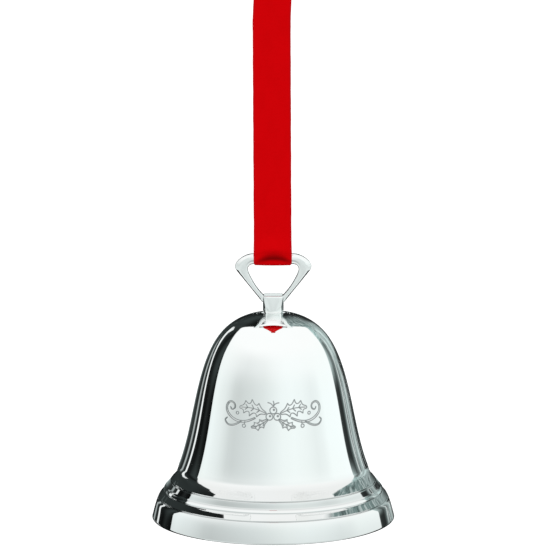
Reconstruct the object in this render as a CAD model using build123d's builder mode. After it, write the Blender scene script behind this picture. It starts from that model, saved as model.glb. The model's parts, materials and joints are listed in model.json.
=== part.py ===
from build123d import *
import math
import os

# ---------------------------------------------------------------------------
# Silver-plated Christmas bell ornament on a red ribbon loop.
# Millimetres, +Z up.  The origin is the centre of the bell's mouth, in the
# plane of the lip.  The engraved front faces -Y, and +X is to the right of
# somebody who looks at it.
# ---------------------------------------------------------------------------

# --- bell shell -------------------------------------------------------------
# outer profile, lip to shoulder: (height, radius)
SHELL_PROFILE = [
    (0.00, 31.26), (0.80, 31.06), (1.80, 30.83), (3.00, 30.48), (4.20, 30.05),
    (5.40, 29.58), (6.60, 28.93), (7.80, 28.02), (9.00, 27.01), (10.20, 26.04),
    (11.50, 25.22), (13.00, 24.55), (15.00, 23.82), (17.50, 23.04),
    (21.00, 22.14), (25.00, 21.24), (30.00, 20.18), (35.00, 19.07),
    (39.00, 17.92), (42.50, 16.61), (45.50, 15.14), (48.00, 13.39),
    (50.00, 11.32), (51.50, 9.06), (52.60, 6.30), (53.15, 4.10),
]
CROWN_Z = 53.30          # height of the small flat seat on the crown
SEAT_R = 2.90            # radius of that seat, just wider than the post
INNER_SEAT_R = 3.60      # radius of the flat under the crown
WALL = 1.00              # wall thickness of the spun brass
LIP_WIDTH = 1.06         # flat width of the lip
INNER_MIN_Z = 0.30       # the inner spline has its own ends at the lip and the
INNER_MIN_R = 5.20       # crown, so offset points beyond these are left out
CROWN_HOLE_R = 1.60      # clearance hole for the eye bolt
TURNED_LINES = [(9.78, 0.10), (7.35, 0.06), (5.55, 0.10)]   # (height, depth)
CUTTER_OUT = 0.40        # how far the V cutter's base stands outside the shell
CUTTER_HALF_W = 0.30     # half the width of that base

# --- handle -----------------------------------------------------------------
BAR_Z = 67.24            # axis of the handle's top bar, which the ribbon carries
BAR_R = 1.38
BAR_HALF = 5.60          # the bar is plain and round over this half length
BAR_OVERLAP = 0.60       # how far each bar end runs on into the casting
SIDE_X = 5.30            # where each cast side begins at the bar
LOOP_DEPTH = 2.30        # front-to-back depth of the cast loop
LOOP_FILLET = 0.45
LEG_END_Z = 56.10        # bottom of the loop's legs, let into the post
LEG_END_X = 2.66         # outer corner of a leg's bottom end
LEG_SEAT_X = 1.60        # inner face of the seats cut for them
LEG_SEAT_SIZE = 3.00     # side of the square cut that makes a seat
LEG_STEP = (2.10, 57.50)         # (x, z) where a leg's inner side turns outwards
LEG_INNER_START = (4.20, 59.75)  # (x, z) where its inner curve starts

POST_R = 2.65
POST_NECK_R = 2.40
POST_NECK_H = 0.25       # height of the neck's straight part
POST_TAPER_H = 0.60      # height above the crown where the post is full width
POST_TOP_Z = 57.95       # top of the post's low dome
POST_EDGE_Z = 57.25      # where the dome meets the cylinder
TAP_R = 1.50             # tapped hole for the eye bolt, in post and nut
POST_TAP_TOP = 56.20

# --- bolt, washer and nut that clamp the post to the crown ------------------
BOLT_R = 1.47            # thread of the eye bolt
BOLT_TOP_Z = 55.90
BOLT_TOP_CHAMFER = 0.35
BOLT_LOW_CHAMFER = 0.55
EYE_Z = 45.30            # centre of the bolt's eye
EYE_R = 2.00             # centreline radius of the eye
EYE_WIRE_R = 0.60
WASHER_R = 3.50
WASHER_T = 0.50
WASHER_CHAMFER = 0.12
NUT_FLATS = 5.50
NUT_T = 2.40
NUT_FACE_R = 2.55        # flat radius left between the turned-off corners
NUT_BEVEL_SLOPE = 0.577  # 30 degrees

# --- clapper ----------------------------------------------------------------
LINK_R = 2.20            # centreline radius of the connecting link
LINK_WIRE_R = 0.50
LINK_GAP = 0.05          # play between two hooked wires
ROD_LOOP_R = 1.90
ROD_WIRE_R = 0.62        # wire of the loop at the rod's top
ROD_R = 0.75             # the rod itself
ROD_DROP = 0.20          # top of the rod below the loop's lowest wire centre
BALL_R = 5.00
BALL_Z = 9.60            # centre of the ball at rest
BALL_FLAT_R = 1.70       # flat on the ball's top, and collar under the ball
ROD_FIT = 0.02           # radial gap between the rod and the ball's bore
COLLAR_INSET = 0.05      # collar's lower face above the full sphere's bottom
HEAD_R = 1.35            # peened head under the ball
HEAD_EDGE_DROP = 0.25    # head's edge below the full sphere's bottom
HEAD_RISE = 0.55

# --- ribbon -----------------------------------------------------------------
RIB_W = 9.50             # 3/8 inch ribbon
RIB_T = 0.25
RIB_PLAY = 0.03          # gap between the fold and the bar
LAYER = 0.28             # pitch of the layers where they are stitched
TACK_LOW_Z = 137.00      # start of the stitched stretch
TACK_END_Z = 142.00      # where the front layer's raw end stops
MIDDLE_END_Z = TACK_LOW_Z + 0.60   # where the middle layer's raw end stops
BEND_R = 60.00           # gentle bend below the stitching
NECK_R = 6.00            # bend above the stitching, into the eye
NECK_Z = 142.60
EYE_LOOP_R = 5.00        # inside radius of the round eye that goes on a hook

# --- stitching --------------------------------------------------------------
THREAD_R = 0.16          # half thickness of the square-section thread
STITCHES = 9
STITCH_PITCH = 0.95
STITCH_LOW_Z = 138.40
STITCH_H = 2.40
STITCH_OUTER_FILLET = 0.30
STITCH_INNER_FILLET = 0.10

os.makedirs("parts", exist_ok=True)


def save(builder, name):
    """Label a finished piece and write its STEP file."""
    builder.part.label = name
    export_step(builder.part, f"parts/{name}.step")


def inward(profile, distance):
    """The profile moved inwards, square to itself, as (radius, height)."""
    moved = []
    for i, (z, r) in enumerate(profile):
        z0, r0 = profile[max(i - 1, 0)]
        z1, r1 = profile[min(i + 1, len(profile) - 1)]
        run = math.hypot(z1 - z0, r1 - r0)
        moved.append((r - distance * (z1 - z0) / run, z + distance * (r1 - r0) / run))
    return moved


def line_cutter(line_z, depth):
    """Closed V section, as (radius, height), whose tip lies `depth` under the shell's face."""
    below = max(p for p in SHELL_PROFILE if p[0] <= line_z)
    above = min(p for p in SHELL_PROFILE if p[0] > line_z)
    share = (line_z - below[0]) / (above[0] - below[0])
    line_r = below[1] + share * (above[1] - below[1])
    slope = math.atan2(below[1] - above[1], above[0] - below[0])
    normal_r, normal_z = math.cos(slope), math.sin(slope)
    tip = (line_r - depth * normal_r, line_z - depth * normal_z)
    base_r, base_z = line_r + CUTTER_OUT * normal_r, line_z + CUTTER_OUT * normal_z
    across_r, across_z = CUTTER_HALF_W * normal_z, CUTTER_HALF_W * normal_r
    return [
        tip,
        (base_r + across_r, base_z - across_z),
        (base_r - across_r, base_z + across_z),
        tip,
    ]


def dome_radius(edge_r, rise):
    """Sphere radius of a dome with this edge radius and rise."""
    return (edge_r**2 + rise**2) / (2 * rise)


# ---------------------------------------------------------------------------
# Bell shell
# ---------------------------------------------------------------------------
crown_under_z = CROWN_Z - WALL
outer_pts = [(r, z) for z, r in SHELL_PROFILE]
inner_pts = [
    (r, z) for r, z in inward(SHELL_PROFILE, WALL) if z > INNER_MIN_Z and r > INNER_MIN_R
]
inner_lip = (SHELL_PROFILE[0][1] - LIP_WIDTH, 0.0)
inner_seat = (INNER_SEAT_R, crown_under_z)

with BuildPart() as bell_shell:
    with BuildSketch(Plane.XZ):
        with BuildLine():
            Spline(*outer_pts, (SEAT_R, CROWN_Z))
            Line((SEAT_R, CROWN_Z), (CROWN_HOLE_R, CROWN_Z))
            Line((CROWN_HOLE_R, CROWN_Z), (CROWN_HOLE_R, crown_under_z))
            Line((CROWN_HOLE_R, crown_under_z), inner_seat)
            Spline(inner_seat, *reversed(inner_pts), inner_lip)
            Line(inner_lip, outer_pts[0])
        make_face()
    revolve(axis=Axis.Z)
    # shallow lines turned around the flare
    for line_z, depth in TURNED_LINES:
        with BuildSketch(Plane.XZ):
            with BuildLine():
                Polyline(*line_cutter(line_z, depth))
            make_face()
        revolve(axis=Axis.Z, mode=Mode.SUBTRACT)
save(bell_shell, "bell_shell")

# ---------------------------------------------------------------------------
# Cast handle loop: a rounded triangle whose top bar is round
# ---------------------------------------------------------------------------
with BuildPart() as handle_loop:
    # the +X side, then its mirror image
    with BuildSketch(Plane.XZ):
        with BuildLine():
            outer_leg = Spline(
                (SIDE_X, BAR_Z + BAR_R), (6.60, 68.42), (7.70, 67.85), (8.80, 67.05),
                (9.60, 66.00), (9.82, 65.30), (9.62, 64.55),
                tangents=((1, 0), (-0.55, -0.84)),
            )
            Line(outer_leg @ 1, (LEG_END_X, LEG_END_Z))
            Line((LEG_END_X, LEG_END_Z), (LEG_SEAT_X, LEG_END_Z))
            Line((LEG_SEAT_X, LEG_END_Z), (LEG_SEAT_X, LEG_STEP[1]))
            Line((LEG_SEAT_X, LEG_STEP[1]), LEG_STEP)
            Line(LEG_STEP, LEG_INNER_START)
            inner_leg = Spline(
                LEG_INNER_START, (6.30, 63.85), (6.50, 64.75), (5.95, 65.60),
                (SIDE_X, BAR_Z - BAR_R),
                tangents=((0.46, 0.89), (-1, 0.1)),
            )
            Line(inner_leg @ 1, outer_leg @ 0)
        make_face()
        mirror(about=Plane.YZ)
    extrude(amount=LOOP_DEPTH / 2, both=True)
    # soften the long front and back edges, but not those at the legs' ends
    long_edges = [
        e for e in handle_loop.edges()
        if abs(abs(e.center().Y) - LOOP_DEPTH / 2) < 1e-3
        and e.length > 2.4
        and e.center().Z > LEG_END_Z + 0.2
    ]
    fillet(long_edges, LOOP_FILLET)
    # the plain round bar that the ribbon carries
    with BuildSketch(Plane.YZ.offset(-BAR_HALF - BAR_OVERLAP)):
        with Locations((0, BAR_Z)):
            Circle(BAR_R)
    extrude(amount=2 * (BAR_HALF + BAR_OVERLAP))
save(handle_loop, "handle_loop")

# ---------------------------------------------------------------------------
# Handle post: a short round stud with a low domed top, tapped from below
# ---------------------------------------------------------------------------
dome_r = dome_radius(POST_R, POST_TOP_Z - POST_EDGE_Z)
dome_mid_z = POST_TOP_Z - dome_r + math.sqrt(dome_r**2 - (POST_R / 2) ** 2)
seat_x = LEG_SEAT_X + LEG_SEAT_SIZE / 2
seat_z = LEG_END_Z + LEG_SEAT_SIZE / 2

with BuildPart() as handle_post:
    with BuildSketch(Plane.XZ):
        with BuildLine():
            Line((0, CROWN_Z), (POST_NECK_R, CROWN_Z))
            Line((POST_NECK_R, CROWN_Z), (POST_NECK_R, CROWN_Z + POST_NECK_H))
            Line((POST_NECK_R, CROWN_Z + POST_NECK_H), (POST_R, CROWN_Z + POST_TAPER_H))
            Line((POST_R, CROWN_Z + POST_TAPER_H), (POST_R, POST_EDGE_Z))
            ThreePointArc((POST_R, POST_EDGE_Z), (POST_R / 2, dome_mid_z), (0, POST_TOP_Z))
            Line((0, POST_TOP_Z), (0, CROWN_Z))
        make_face()
    revolve(axis=Axis.Z)
    # tapped hole for the eye bolt
    with BuildSketch(Plane.XY.offset(CROWN_Z)):
        Circle(TAP_R)
    extrude(amount=POST_TAP_TOP - CROWN_Z, mode=Mode.SUBTRACT)
    # seats that the loop's two legs are let into and soldered
    with BuildSketch(Plane.XZ):
        with Locations((seat_x, seat_z), (-seat_x, seat_z)):
            Rectangle(LEG_SEAT_SIZE, LEG_SEAT_SIZE)
    extrude(amount=LOOP_DEPTH / 2, both=True, mode=Mode.SUBTRACT)
save(handle_post, "handle_post")

# ---------------------------------------------------------------------------
# Eye bolt: screwed up through the crown into the post, its eye in the XZ plane
# ---------------------------------------------------------------------------
eye_top = EYE_Z + EYE_R
with BuildPart() as eye_bolt:
    with BuildSketch(Plane.XY.offset(eye_top)):
        Circle(BOLT_R)
    extrude(amount=BOLT_TOP_Z - eye_top)
    chamfer(eye_bolt.edges().filter_by(GeomType.CIRCLE).sort_by(Axis.Z)[-1], BOLT_TOP_CHAMFER)
    chamfer(eye_bolt.edges().filter_by(GeomType.CIRCLE).sort_by(Axis.Z)[0], BOLT_LOW_CHAMFER)
    with BuildSketch(Plane.YZ):
        with Locations((0, eye_top)):
            Circle(EYE_WIRE_R)
    revolve(axis=Axis((0, 0, EYE_Z), (0, 1, 0)))
save(eye_bolt, "eye_bolt")

# ---------------------------------------------------------------------------
# Washer and nut against the inside of the crown
# ---------------------------------------------------------------------------
washer_low = crown_under_z - WASHER_T
with BuildPart() as crown_washer:
    with BuildSketch(Plane.XY.offset(washer_low)):
        Circle(WASHER_R)
        Circle(CROWN_HOLE_R, mode=Mode.SUBTRACT)
    extrude(amount=WASHER_T)
    low_circles = crown_washer.edges().filter_by(GeomType.CIRCLE).group_by(Axis.Z)[0]
    chamfer(low_circles.sort_by(SortBy.RADIUS)[-1], WASHER_CHAMFER)
save(crown_washer, "crown_washer")

nut_low = washer_low - NUT_T
nut_high = nut_low + NUT_T
bevel_r = NUT_FLATS / math.sqrt(3) + 0.01     # just outside the nut's corners
bevel_h = (bevel_r - NUT_FACE_R) * NUT_BEVEL_SLOPE
with BuildPart() as hex_nut:
    with BuildSketch(Plane.XY.offset(nut_low)):
        RegularPolygon(NUT_FLATS / 2, 6, major_radius=False)
    extrude(amount=NUT_T)
    # corners turned off, top and bottom
    with BuildSketch(Plane.XZ):
        with BuildLine():
            Polyline(
                (0, nut_low), (NUT_FACE_R, nut_low), (bevel_r, nut_low + bevel_h),
                (bevel_r, nut_high - bevel_h), (NUT_FACE_R, nut_high),
                (0, nut_high), (0, nut_low),
            )
        make_face()
    revolve(axis=Axis.Z, mode=Mode.INTERSECT)
    with BuildSketch(Plane.XY.offset(nut_low)):
        Circle(TAP_R)
    extrude(amount=NUT_T, mode=Mode.SUBTRACT)
save(hex_nut, "hex_nut")

# ---------------------------------------------------------------------------
# Clapper: link, looped rod and ball, each hung from the wire above it.
# Tops and lows of the rings are heights of the wire's centre.
# ---------------------------------------------------------------------------
link_top = EYE_Z - EYE_R + EYE_WIRE_R + LINK_WIRE_R + LINK_GAP
link_z = link_top - LINK_R
loop_top = link_z - LINK_R + LINK_WIRE_R + ROD_WIRE_R + LINK_GAP
loop_z = loop_top - ROD_LOOP_R
rod_top = loop_z - ROD_LOOP_R - ROD_DROP

# the link is a ring in the YZ plane
with BuildPart() as clapper_link:
    with BuildSketch(Plane.XZ):
        with Locations((0, link_top)):
            Circle(LINK_WIRE_R)
    revolve(axis=Axis((0, 0, link_z), (1, 0, 0)))
save(clapper_link, "clapper_link")

# the rod's lower end is peened over into a domed head that holds the ball
collar_z = BALL_Z - BALL_R + COLLAR_INSET     # where the head meets the ball's collar
head_z = BALL_Z - BALL_R - HEAD_EDGE_DROP
head_low = head_z - HEAD_RISE
head_dome_r = dome_radius(HEAD_R, HEAD_RISE)
head_mid_z = head_low + head_dome_r - math.sqrt(head_dome_r**2 - (HEAD_R / 2) ** 2)
with BuildPart() as clapper_rod:
    with BuildSketch(Plane.YZ):
        with Locations((0, loop_top)):
            Circle(ROD_WIRE_R)
    revolve(axis=Axis((0, 0, loop_z), (0, 1, 0)))
    with BuildSketch(Plane.XZ):
        with BuildLine():
            Polyline(
                (0, rod_top), (ROD_R, rod_top), (ROD_R, collar_z),
                (HEAD_R, collar_z), (HEAD_R, head_z),
            )
            ThreePointArc((HEAD_R, head_z), (HEAD_R / 2, head_mid_z), (0, head_low))
            Line((0, head_low), (0, rod_top))
        make_face()
    revolve(axis=Axis.Z)
save(clapper_rod, "clapper_rod")

# bored ball, flat on top, with a short collar below
bore_r = ROD_R + ROD_FIT
flat_rise = math.sqrt(BALL_R**2 - BALL_FLAT_R**2)
ball_low = (BALL_FLAT_R, BALL_Z - flat_rise)
ball_high = (BALL_FLAT_R, BALL_Z + flat_rise)
with BuildPart() as clapper_ball:
    with BuildSketch(Plane.XZ):
        with BuildLine():
            Line((bore_r, collar_z), (BALL_FLAT_R, collar_z))
            Line((BALL_FLAT_R, collar_z), ball_low)
            ThreePointArc(ball_low, (BALL_R, BALL_Z), ball_high)
            Line(ball_high, (bore_r, BALL_Z + flat_rise))
            Line((bore_r, BALL_Z + flat_rise), (bore_r, collar_z))
        make_face()
    revolve(axis=Axis.Z)
save(clapper_ball, "clapper_ball")

# ---------------------------------------------------------------------------
# Ribbon: one strip, folded under the handle's bar.  Its front end stops at
# the stitching; its back layer goes on round the eye and comes back down
# between the other two layers.
# Side view, (y, z), along the middle of the strip's thickness.
# ---------------------------------------------------------------------------
half_t = RIB_T / 2
fold_r = BAR_R + RIB_PLAY + half_t
eye_r = EYE_LOOP_R + half_t
bend_y = LAYER + BEND_R      # bend centres lie this far in front and behind

# lean of the two straight runs, tangent to the fold and to the gentle bend
bend_rise = TACK_LOW_Z - BAR_Z
lean = math.degrees(
    math.atan2(bend_rise, bend_y) - math.acos((fold_r + BEND_R) / math.hypot(bend_y, bend_rise))
)

# eye: its centre, and where it meets the front and back neck bends
reach = eye_r + NECK_R
eye_z = NECK_Z + math.sqrt(reach**2 - NECK_R**2)
front_angle = math.degrees(math.atan2(eye_z - NECK_Z, NECK_R))
back_neck_y = LAYER + NECK_R
back_drop = math.sqrt(reach**2 - back_neck_y**2)
back_neck_z = eye_z - back_drop
back_angle = math.degrees(math.atan2(back_drop, back_neck_y))


def polar(centre_y, centre_z, radius, angle):
    """The point at an angle in degrees, from +Y towards +Z."""
    radians = math.radians(angle)
    return (centre_y + radius * math.cos(radians), centre_z + radius * math.sin(radians))


def arc(centre_y, centre_z, radius, start, end):
    """An arc through its two ends and its middle, in degrees."""
    return ThreePointArc(
        *(polar(centre_y, centre_z, radius, a) for a in (start, (start + end) / 2, end))
    )


def strip_side(side):
    """Draw one face of the strip and return its two ends.

    side = +1 is the face towards the bar, -1 the outer one.
    """
    shift = side * half_t
    # front run, from its raw end down to the fold
    front_end = (-LAYER + shift, TACK_END_Z)
    Line(front_end, (-LAYER + shift, TACK_LOW_Z))
    front = arc(-bend_y, TACK_LOW_Z, BEND_R + shift, 0, -lean)
    # the fold under the bar
    fold_start = polar(0, BAR_Z, fold_r - shift, 180 - lean)
    Line(front @ 1, fold_start)
    fold = arc(0, BAR_Z, fold_r - shift, 180 - lean, 360 + lean)
    # back run, up past the stitching
    back = arc(bend_y, TACK_LOW_Z, BEND_R + shift, 180 + lean, 180)
    Line(fold @ 1, back @ 0)
    Line(back @ 1, polar(back_neck_y, back_neck_z, NECK_R + shift, 180))
    # out round the eye and back down between the layers
    arc(back_neck_y, back_neck_z, NECK_R + shift, 180, 180 - back_angle)
    arc(0, eye_z, eye_r - shift, -back_angle, 180 + front_angle)
    arc(-NECK_R, NECK_Z, NECK_R + shift, front_angle, 0)
    middle_end = (shift, MIDDLE_END_Z)
    Line(polar(-NECK_R, NECK_Z, NECK_R + shift, 0), middle_end)
    return front_end, middle_end


with BuildPart() as ribbon:
    with BuildSketch(Plane.YZ):
        with BuildLine():
            inner_front, inner_middle = strip_side(1)
            outer_front, outer_middle = strip_side(-1)
            Line(inner_front, outer_front)
            Line(inner_middle, outer_middle)
        make_face()
    extrude(amount=RIB_W / 2, both=True)
save(ribbon, "ribbon")

# ---------------------------------------------------------------------------
# Stitching: a bar tack of upright thread loops around the three layers
# ---------------------------------------------------------------------------
tack_half = LAYER + half_t + THREAD_R    # thread's middle, in front and behind
with BuildPart() as ribbon_stitching:
    for i in range(STITCHES):
        stitch_x = (i - (STITCHES - 1) / 2) * STITCH_PITCH
        with BuildSketch(Plane.YZ.offset(stitch_x)):
            with Locations((0, STITCH_LOW_Z + STITCH_H / 2)):
                RectangleRounded(
                    2 * (tack_half + THREAD_R), STITCH_H + 2 * THREAD_R, STITCH_OUTER_FILLET
                )
                RectangleRounded(
                    2 * (tack_half - THREAD_R), STITCH_H - 2 * THREAD_R, STITCH_INNER_FILLET,
                    mode=Mode.SUBTRACT,
                )
        extrude(amount=THREAD_R, both=True)
save(ribbon_stitching, "ribbon_stitching")
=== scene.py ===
# A silver-plated hand bell hung by its handle from a loop of red ribbon.
# The bell's axis is Z with the mouth at the bottom near z = 0 and the handle bar along X.
# The front faces -Y. Lengths in this script are millimetres unless a name says otherwise;
# angles about Z run from the front (-Y) towards +X.
import json
import math

import bpy
import numpy as np
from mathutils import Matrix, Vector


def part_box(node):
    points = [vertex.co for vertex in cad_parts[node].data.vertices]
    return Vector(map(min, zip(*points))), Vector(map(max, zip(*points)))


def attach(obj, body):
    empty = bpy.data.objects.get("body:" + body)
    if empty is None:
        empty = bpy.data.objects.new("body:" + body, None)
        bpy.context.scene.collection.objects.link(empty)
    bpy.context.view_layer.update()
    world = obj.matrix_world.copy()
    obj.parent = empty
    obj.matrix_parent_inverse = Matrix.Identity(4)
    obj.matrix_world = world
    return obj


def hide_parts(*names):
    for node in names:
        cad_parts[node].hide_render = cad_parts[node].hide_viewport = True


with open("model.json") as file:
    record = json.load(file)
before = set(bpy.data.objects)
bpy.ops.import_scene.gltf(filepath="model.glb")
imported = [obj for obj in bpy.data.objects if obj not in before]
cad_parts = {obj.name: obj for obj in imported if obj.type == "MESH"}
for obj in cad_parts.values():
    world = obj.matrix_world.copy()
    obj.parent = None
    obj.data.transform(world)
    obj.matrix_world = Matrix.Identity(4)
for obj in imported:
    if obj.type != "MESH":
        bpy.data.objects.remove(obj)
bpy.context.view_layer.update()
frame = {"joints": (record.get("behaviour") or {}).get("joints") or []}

MM = 0.001                       # metres in a millimetre
BODY_RIBBON, BODY_BELL, BODY_LINK, BODY_CLAPPER = "ribbon_loop", "bell", "link", "clapper"


# ---------------------------------------------------------------------------
# driving dimensions, from the boxes of the CAD pieces
# ---------------------------------------------------------------------------
def box_mm(node):
    lo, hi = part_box(node)
    return [v / MM for v in lo], [v / MM for v in hi]


shell_lo, shell_hi = box_mm("bell_shell")
post_lo, post_hi = box_mm("handle_post")
loop_hi = box_mm("handle_loop")[1]
bolt_lo, bolt_hi = box_mm("eye_bolt")
washer_lo, washer_hi = box_mm("crown_washer")
nut_lo, nut_hi = box_mm("hex_nut")
link_lo, link_hi = box_mm("clapper_link")
rod_lo, rod_hi = box_mm("clapper_rod")
ball_lo, ball_hi = box_mm("clapper_ball")
stitch_lo, stitch_hi = box_mm("ribbon_stitching")

swing = next(joint for joint in frame["joints"] if joint["name"] == "bell_swing")
BAR_Z = swing["pos_m"][2] / MM   # middle of the handle bar
BAR_R = loop_hi[2] - BAR_Z
WALL = 1.0                       # thickness of the bell shell


# ---------------------------------------------------------------------------
# numbers and curves
# ---------------------------------------------------------------------------
def clamp(x):
    return min(max(x, 0.0), 1.0)


def ease(x):
    """0 to 1 with a smooth start and end."""
    x = clamp(x)
    return x * x * (3 - 2 * x)


def unit(vectors):
    return vectors / np.linalg.norm(vectors, axis=-1, keepdims=True)


def quarter_turn(vectors):
    """2-D vectors turned a quarter anticlockwise."""
    return np.stack([-vectors[:, 1], vectors[:, 0]], 1)


def signed_power(values, exponent):
    return np.copysign(np.abs(values) ** exponent, values)


def full_turn(count):
    return np.linspace(0, 2 * math.pi, count, endpoint=False)


def wrapped(angle):
    """The angle brought into -pi to pi."""
    return (angle + math.pi) % (2 * math.pi) - math.pi


def arc_lengths(points):
    """Distance walked along a polyline at each of its points."""
    return np.r_[0, np.cumsum(np.linalg.norm(np.diff(points, axis=0), axis=1))]


def spline_through(points, count):
    """Natural cubic spline through the points, sampled evenly along its length."""
    points = np.asarray(points, float)
    knots = arc_lengths(points)
    gaps = np.diff(knots)
    size = len(points)
    system = np.zeros((size, size))
    target = np.zeros((size, points.shape[1]))
    system[0, 0] = system[-1, -1] = 1
    for i in range(1, size - 1):
        system[i, i - 1:i + 2] = gaps[i - 1], 2 * (gaps[i - 1] + gaps[i]), gaps[i]
        target[i] = 6 * ((points[i + 1] - points[i]) / gaps[i]
                         - (points[i] - points[i - 1]) / gaps[i - 1])
    bend = np.linalg.solve(system, target)      # second derivative at each knot

    at = np.linspace(0, knots[-1], 4000)
    i = np.clip(np.searchsorted(knots, at, side="right") - 1, 0, size - 2)
    step = (at - knots[i])[:, None]
    gap = gaps[i][:, None]
    slope = (points[i + 1] - points[i]) / gap - gap * (2 * bend[i] + bend[i + 1]) / 6
    fine = (points[i] + slope * step + bend[i] / 2 * step**2
            + (bend[i + 1] - bend[i]) / (6 * gap) * step**3)
    walked = arc_lengths(fine)
    want = np.linspace(0, walked[-1], count)
    return np.stack([np.interp(want, walked, column) for column in fine.T], 1)


def round_corners(points, radii, steps=4):
    """A polyline with its inner corners rounded, as a list of points."""
    out = [points[0]]
    for i, radius in enumerate(radii, 1):
        before, corner, after = (np.array(points[i + k], float) for k in (-1, 0, 1))
        to_before, to_after = unit(before - corner), unit(after - corner)
        half = math.acos(max(-1, min(1, float(to_before @ to_after)))) / 2
        cut = min(radius / math.tan(half), 0.49 * np.linalg.norm(before - corner),
                  0.49 * np.linalg.norm(after - corner))
        fitted = cut * math.tan(half)
        centre = corner + unit(to_before + to_after) * (fitted / math.sin(half))
        start = corner + to_before * cut - centre
        end = corner + to_after * cut - centre
        for k in range(steps + 1):
            w = k / steps
            out.append(tuple(centre + unit(start * (1 - w) + end * w) * fitted))
    out.append(points[-1])
    return out


# ---------------------------------------------------------------------------
# meshes
# ---------------------------------------------------------------------------
def make_object(name, verts, faces, materials, body, replaces, slot, normals=None,
                face_materials=None):
    """A smooth-shaded object that rides a body and stands in for a CAD piece."""
    mesh = bpy.data.meshes.new(name)
    mesh.from_pydata((np.asarray(verts, float) * MM).tolist(), [], faces)
    for mat in materials:
        mesh.materials.append(mat)
    mesh.update()
    mesh.polygons.foreach_set("use_smooth", [True] * len(mesh.polygons))
    if face_materials is not None:
        mesh.polygons.foreach_set("material_index", face_materials)
    if normals is not None:
        mesh.normals_split_custom_set_from_vertices(unit(np.asarray(normals, float)).tolist())
    obj = bpy.data.objects.new(name, mesh)
    bpy.context.scene.collection.objects.link(obj)
    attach(obj, body)
    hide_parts(replaces)
    return obj


def add_point_values(mesh, name, values):
    layer = mesh.attributes.new(name, "FLOAT", "POINT")
    layer.data.foreach_set("value", np.array(values, np.float32))


def around(radius, angle, z):
    """The point at an angle about Z."""
    return (radius * math.sin(angle), -radius * math.cos(angle), z)


def bridge(low, high):
    """Faces between two rings of vertex numbers. A ring of one vertex makes a fan."""
    count = max(len(low), len(high))
    faces = []
    for j in range(count):
        k = (j + 1) % count
        if len(low) == 1:
            faces.append((low[0], high[k], high[j]))
        elif len(high) == 1:
            faces.append((low[j], low[k], high[0]))
        else:
            faces.append((low[j], low[k], high[k], high[j]))
    return faces


def bridge_all(rings, closed=False):
    followers = rings[1:] + (rings[:1] if closed else [])
    return [face for low, high in zip(rings, followers) for face in bridge(low, high)]


def lathe(profile, columns, closed=False, radius_fn=None):
    """A profile of (radius, z) turned about Z. A point with no radius becomes a pole."""
    verts, rings = [], []
    for radius, z in profile:
        start = len(verts)
        if radius < 1e-6:
            verts.append((0, 0, z))
        else:
            for angle in full_turn(columns):
                turned = radius_fn(radius, z, angle) if radius_fn else radius
                verts.append(around(turned, angle, z))
        rings.append(list(range(start, len(verts))))
    return verts, bridge_all(rings, closed)


def tube(path, radius, sides, closed=False, start_side=(0, 1, 0)):
    """A round wire along a 3-D path, with domed ends unless the path is closed."""
    path = np.asarray(path, float)
    radii = np.broadcast_to(radius, len(path))
    if closed:
        tangents = np.roll(path, -1, 0) - np.roll(path, 1, 0)
    else:
        tangents = np.vstack([path[1] - path[0], path[2:] - path[:-2], path[-1] - path[-2]])
    tangents = unit(tangents)
    angles = full_turn(sides)[:, None]
    verts = []

    def add_ring(centre, side, tangent, ring_radius):
        start = len(verts)
        outward = np.cos(angles) * side + np.sin(angles) * np.cross(tangent, side)
        verts.extend(centre + outward * ring_radius)
        return list(range(start, len(verts)))

    side = np.array(start_side, float)
    side_at, rings = [], []
    for centre, tangent, ring_radius in zip(path, tangents, radii):
        side = unit(side - (side @ tangent) * tangent)
        side_at.append(side)
        rings.append(add_ring(centre, side, tangent, ring_radius))
    faces = bridge_all(rings, closed)
    if closed:
        return verts, faces

    for end, sign in ((0, -1), (-1, 1)):
        last = rings[end]
        dome = tangents[end] * sign * radii[end] * 0.45
        for q in (0.35, 0.7):
            bend = q * math.pi / 2
            ring = add_ring(path[end] + dome * math.sin(bend), side_at[end], tangents[end],
                            radii[end] * math.cos(bend))
            faces += bridge(last, ring) if sign > 0 else bridge(ring, last)
            last = ring
        tip = [len(verts)]
        verts.append(path[end] + dome)
        faces += bridge(last, tip) if sign > 0 else bridge(tip, last)
    return verts, faces


def merge(*parts):
    verts, faces = [], []
    for part_verts, part_faces in parts:
        base = len(verts)
        verts += list(part_verts)
        faces += [tuple(i + base for i in face) for face in part_faces]
    return verts, faces


# ---------------------------------------------------------------------------
# shader values
# ---------------------------------------------------------------------------
class Value:
    """An output of a shader node. Writing + - or * with it adds a maths node."""

    def __init__(self, tree, socket):
        self.tree = tree
        self.socket = socket

    def __add__(self, other):
        return maths("ADD", self, other)

    def __radd__(self, other):
        return maths("ADD", other, self)

    def __sub__(self, other):
        return maths("SUBTRACT", self, other)

    def __rsub__(self, other):
        return maths("SUBTRACT", other, self)

    def __mul__(self, other):
        return maths("MULTIPLY", self, other)


def fill(node, inputs):
    """Link or set a node's inputs, given by name or number."""
    for key, value in inputs.items():
        if isinstance(value, Value):
            value.tree.links.new(value.socket, node.inputs[key])
        else:
            node.inputs[key].default_value = value


def add_node(tree, kind, inputs=None, output=0, **props):
    node = tree.nodes.new(kind)
    for name, value in props.items():
        setattr(node, name, value)
    fill(node, inputs or {})
    return Value(tree, node.outputs[output])


def maths(operation, *operands):
    tree = next(v.tree for v in operands if isinstance(v, Value))
    return add_node(tree, "ShaderNodeMath", dict(enumerate(operands)), operation=operation)


def magnitude(x):
    return maths("ABSOLUTE", x)


def rise(x, start, end):
    """0 at start, 1 at end, smooth between."""
    return add_node(x.tree, "ShaderNodeMapRange",
                    {"Value": x, "From Min": start, "From Max": end},
                    output="Result", interpolation_type="SMOOTHSTEP")


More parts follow.
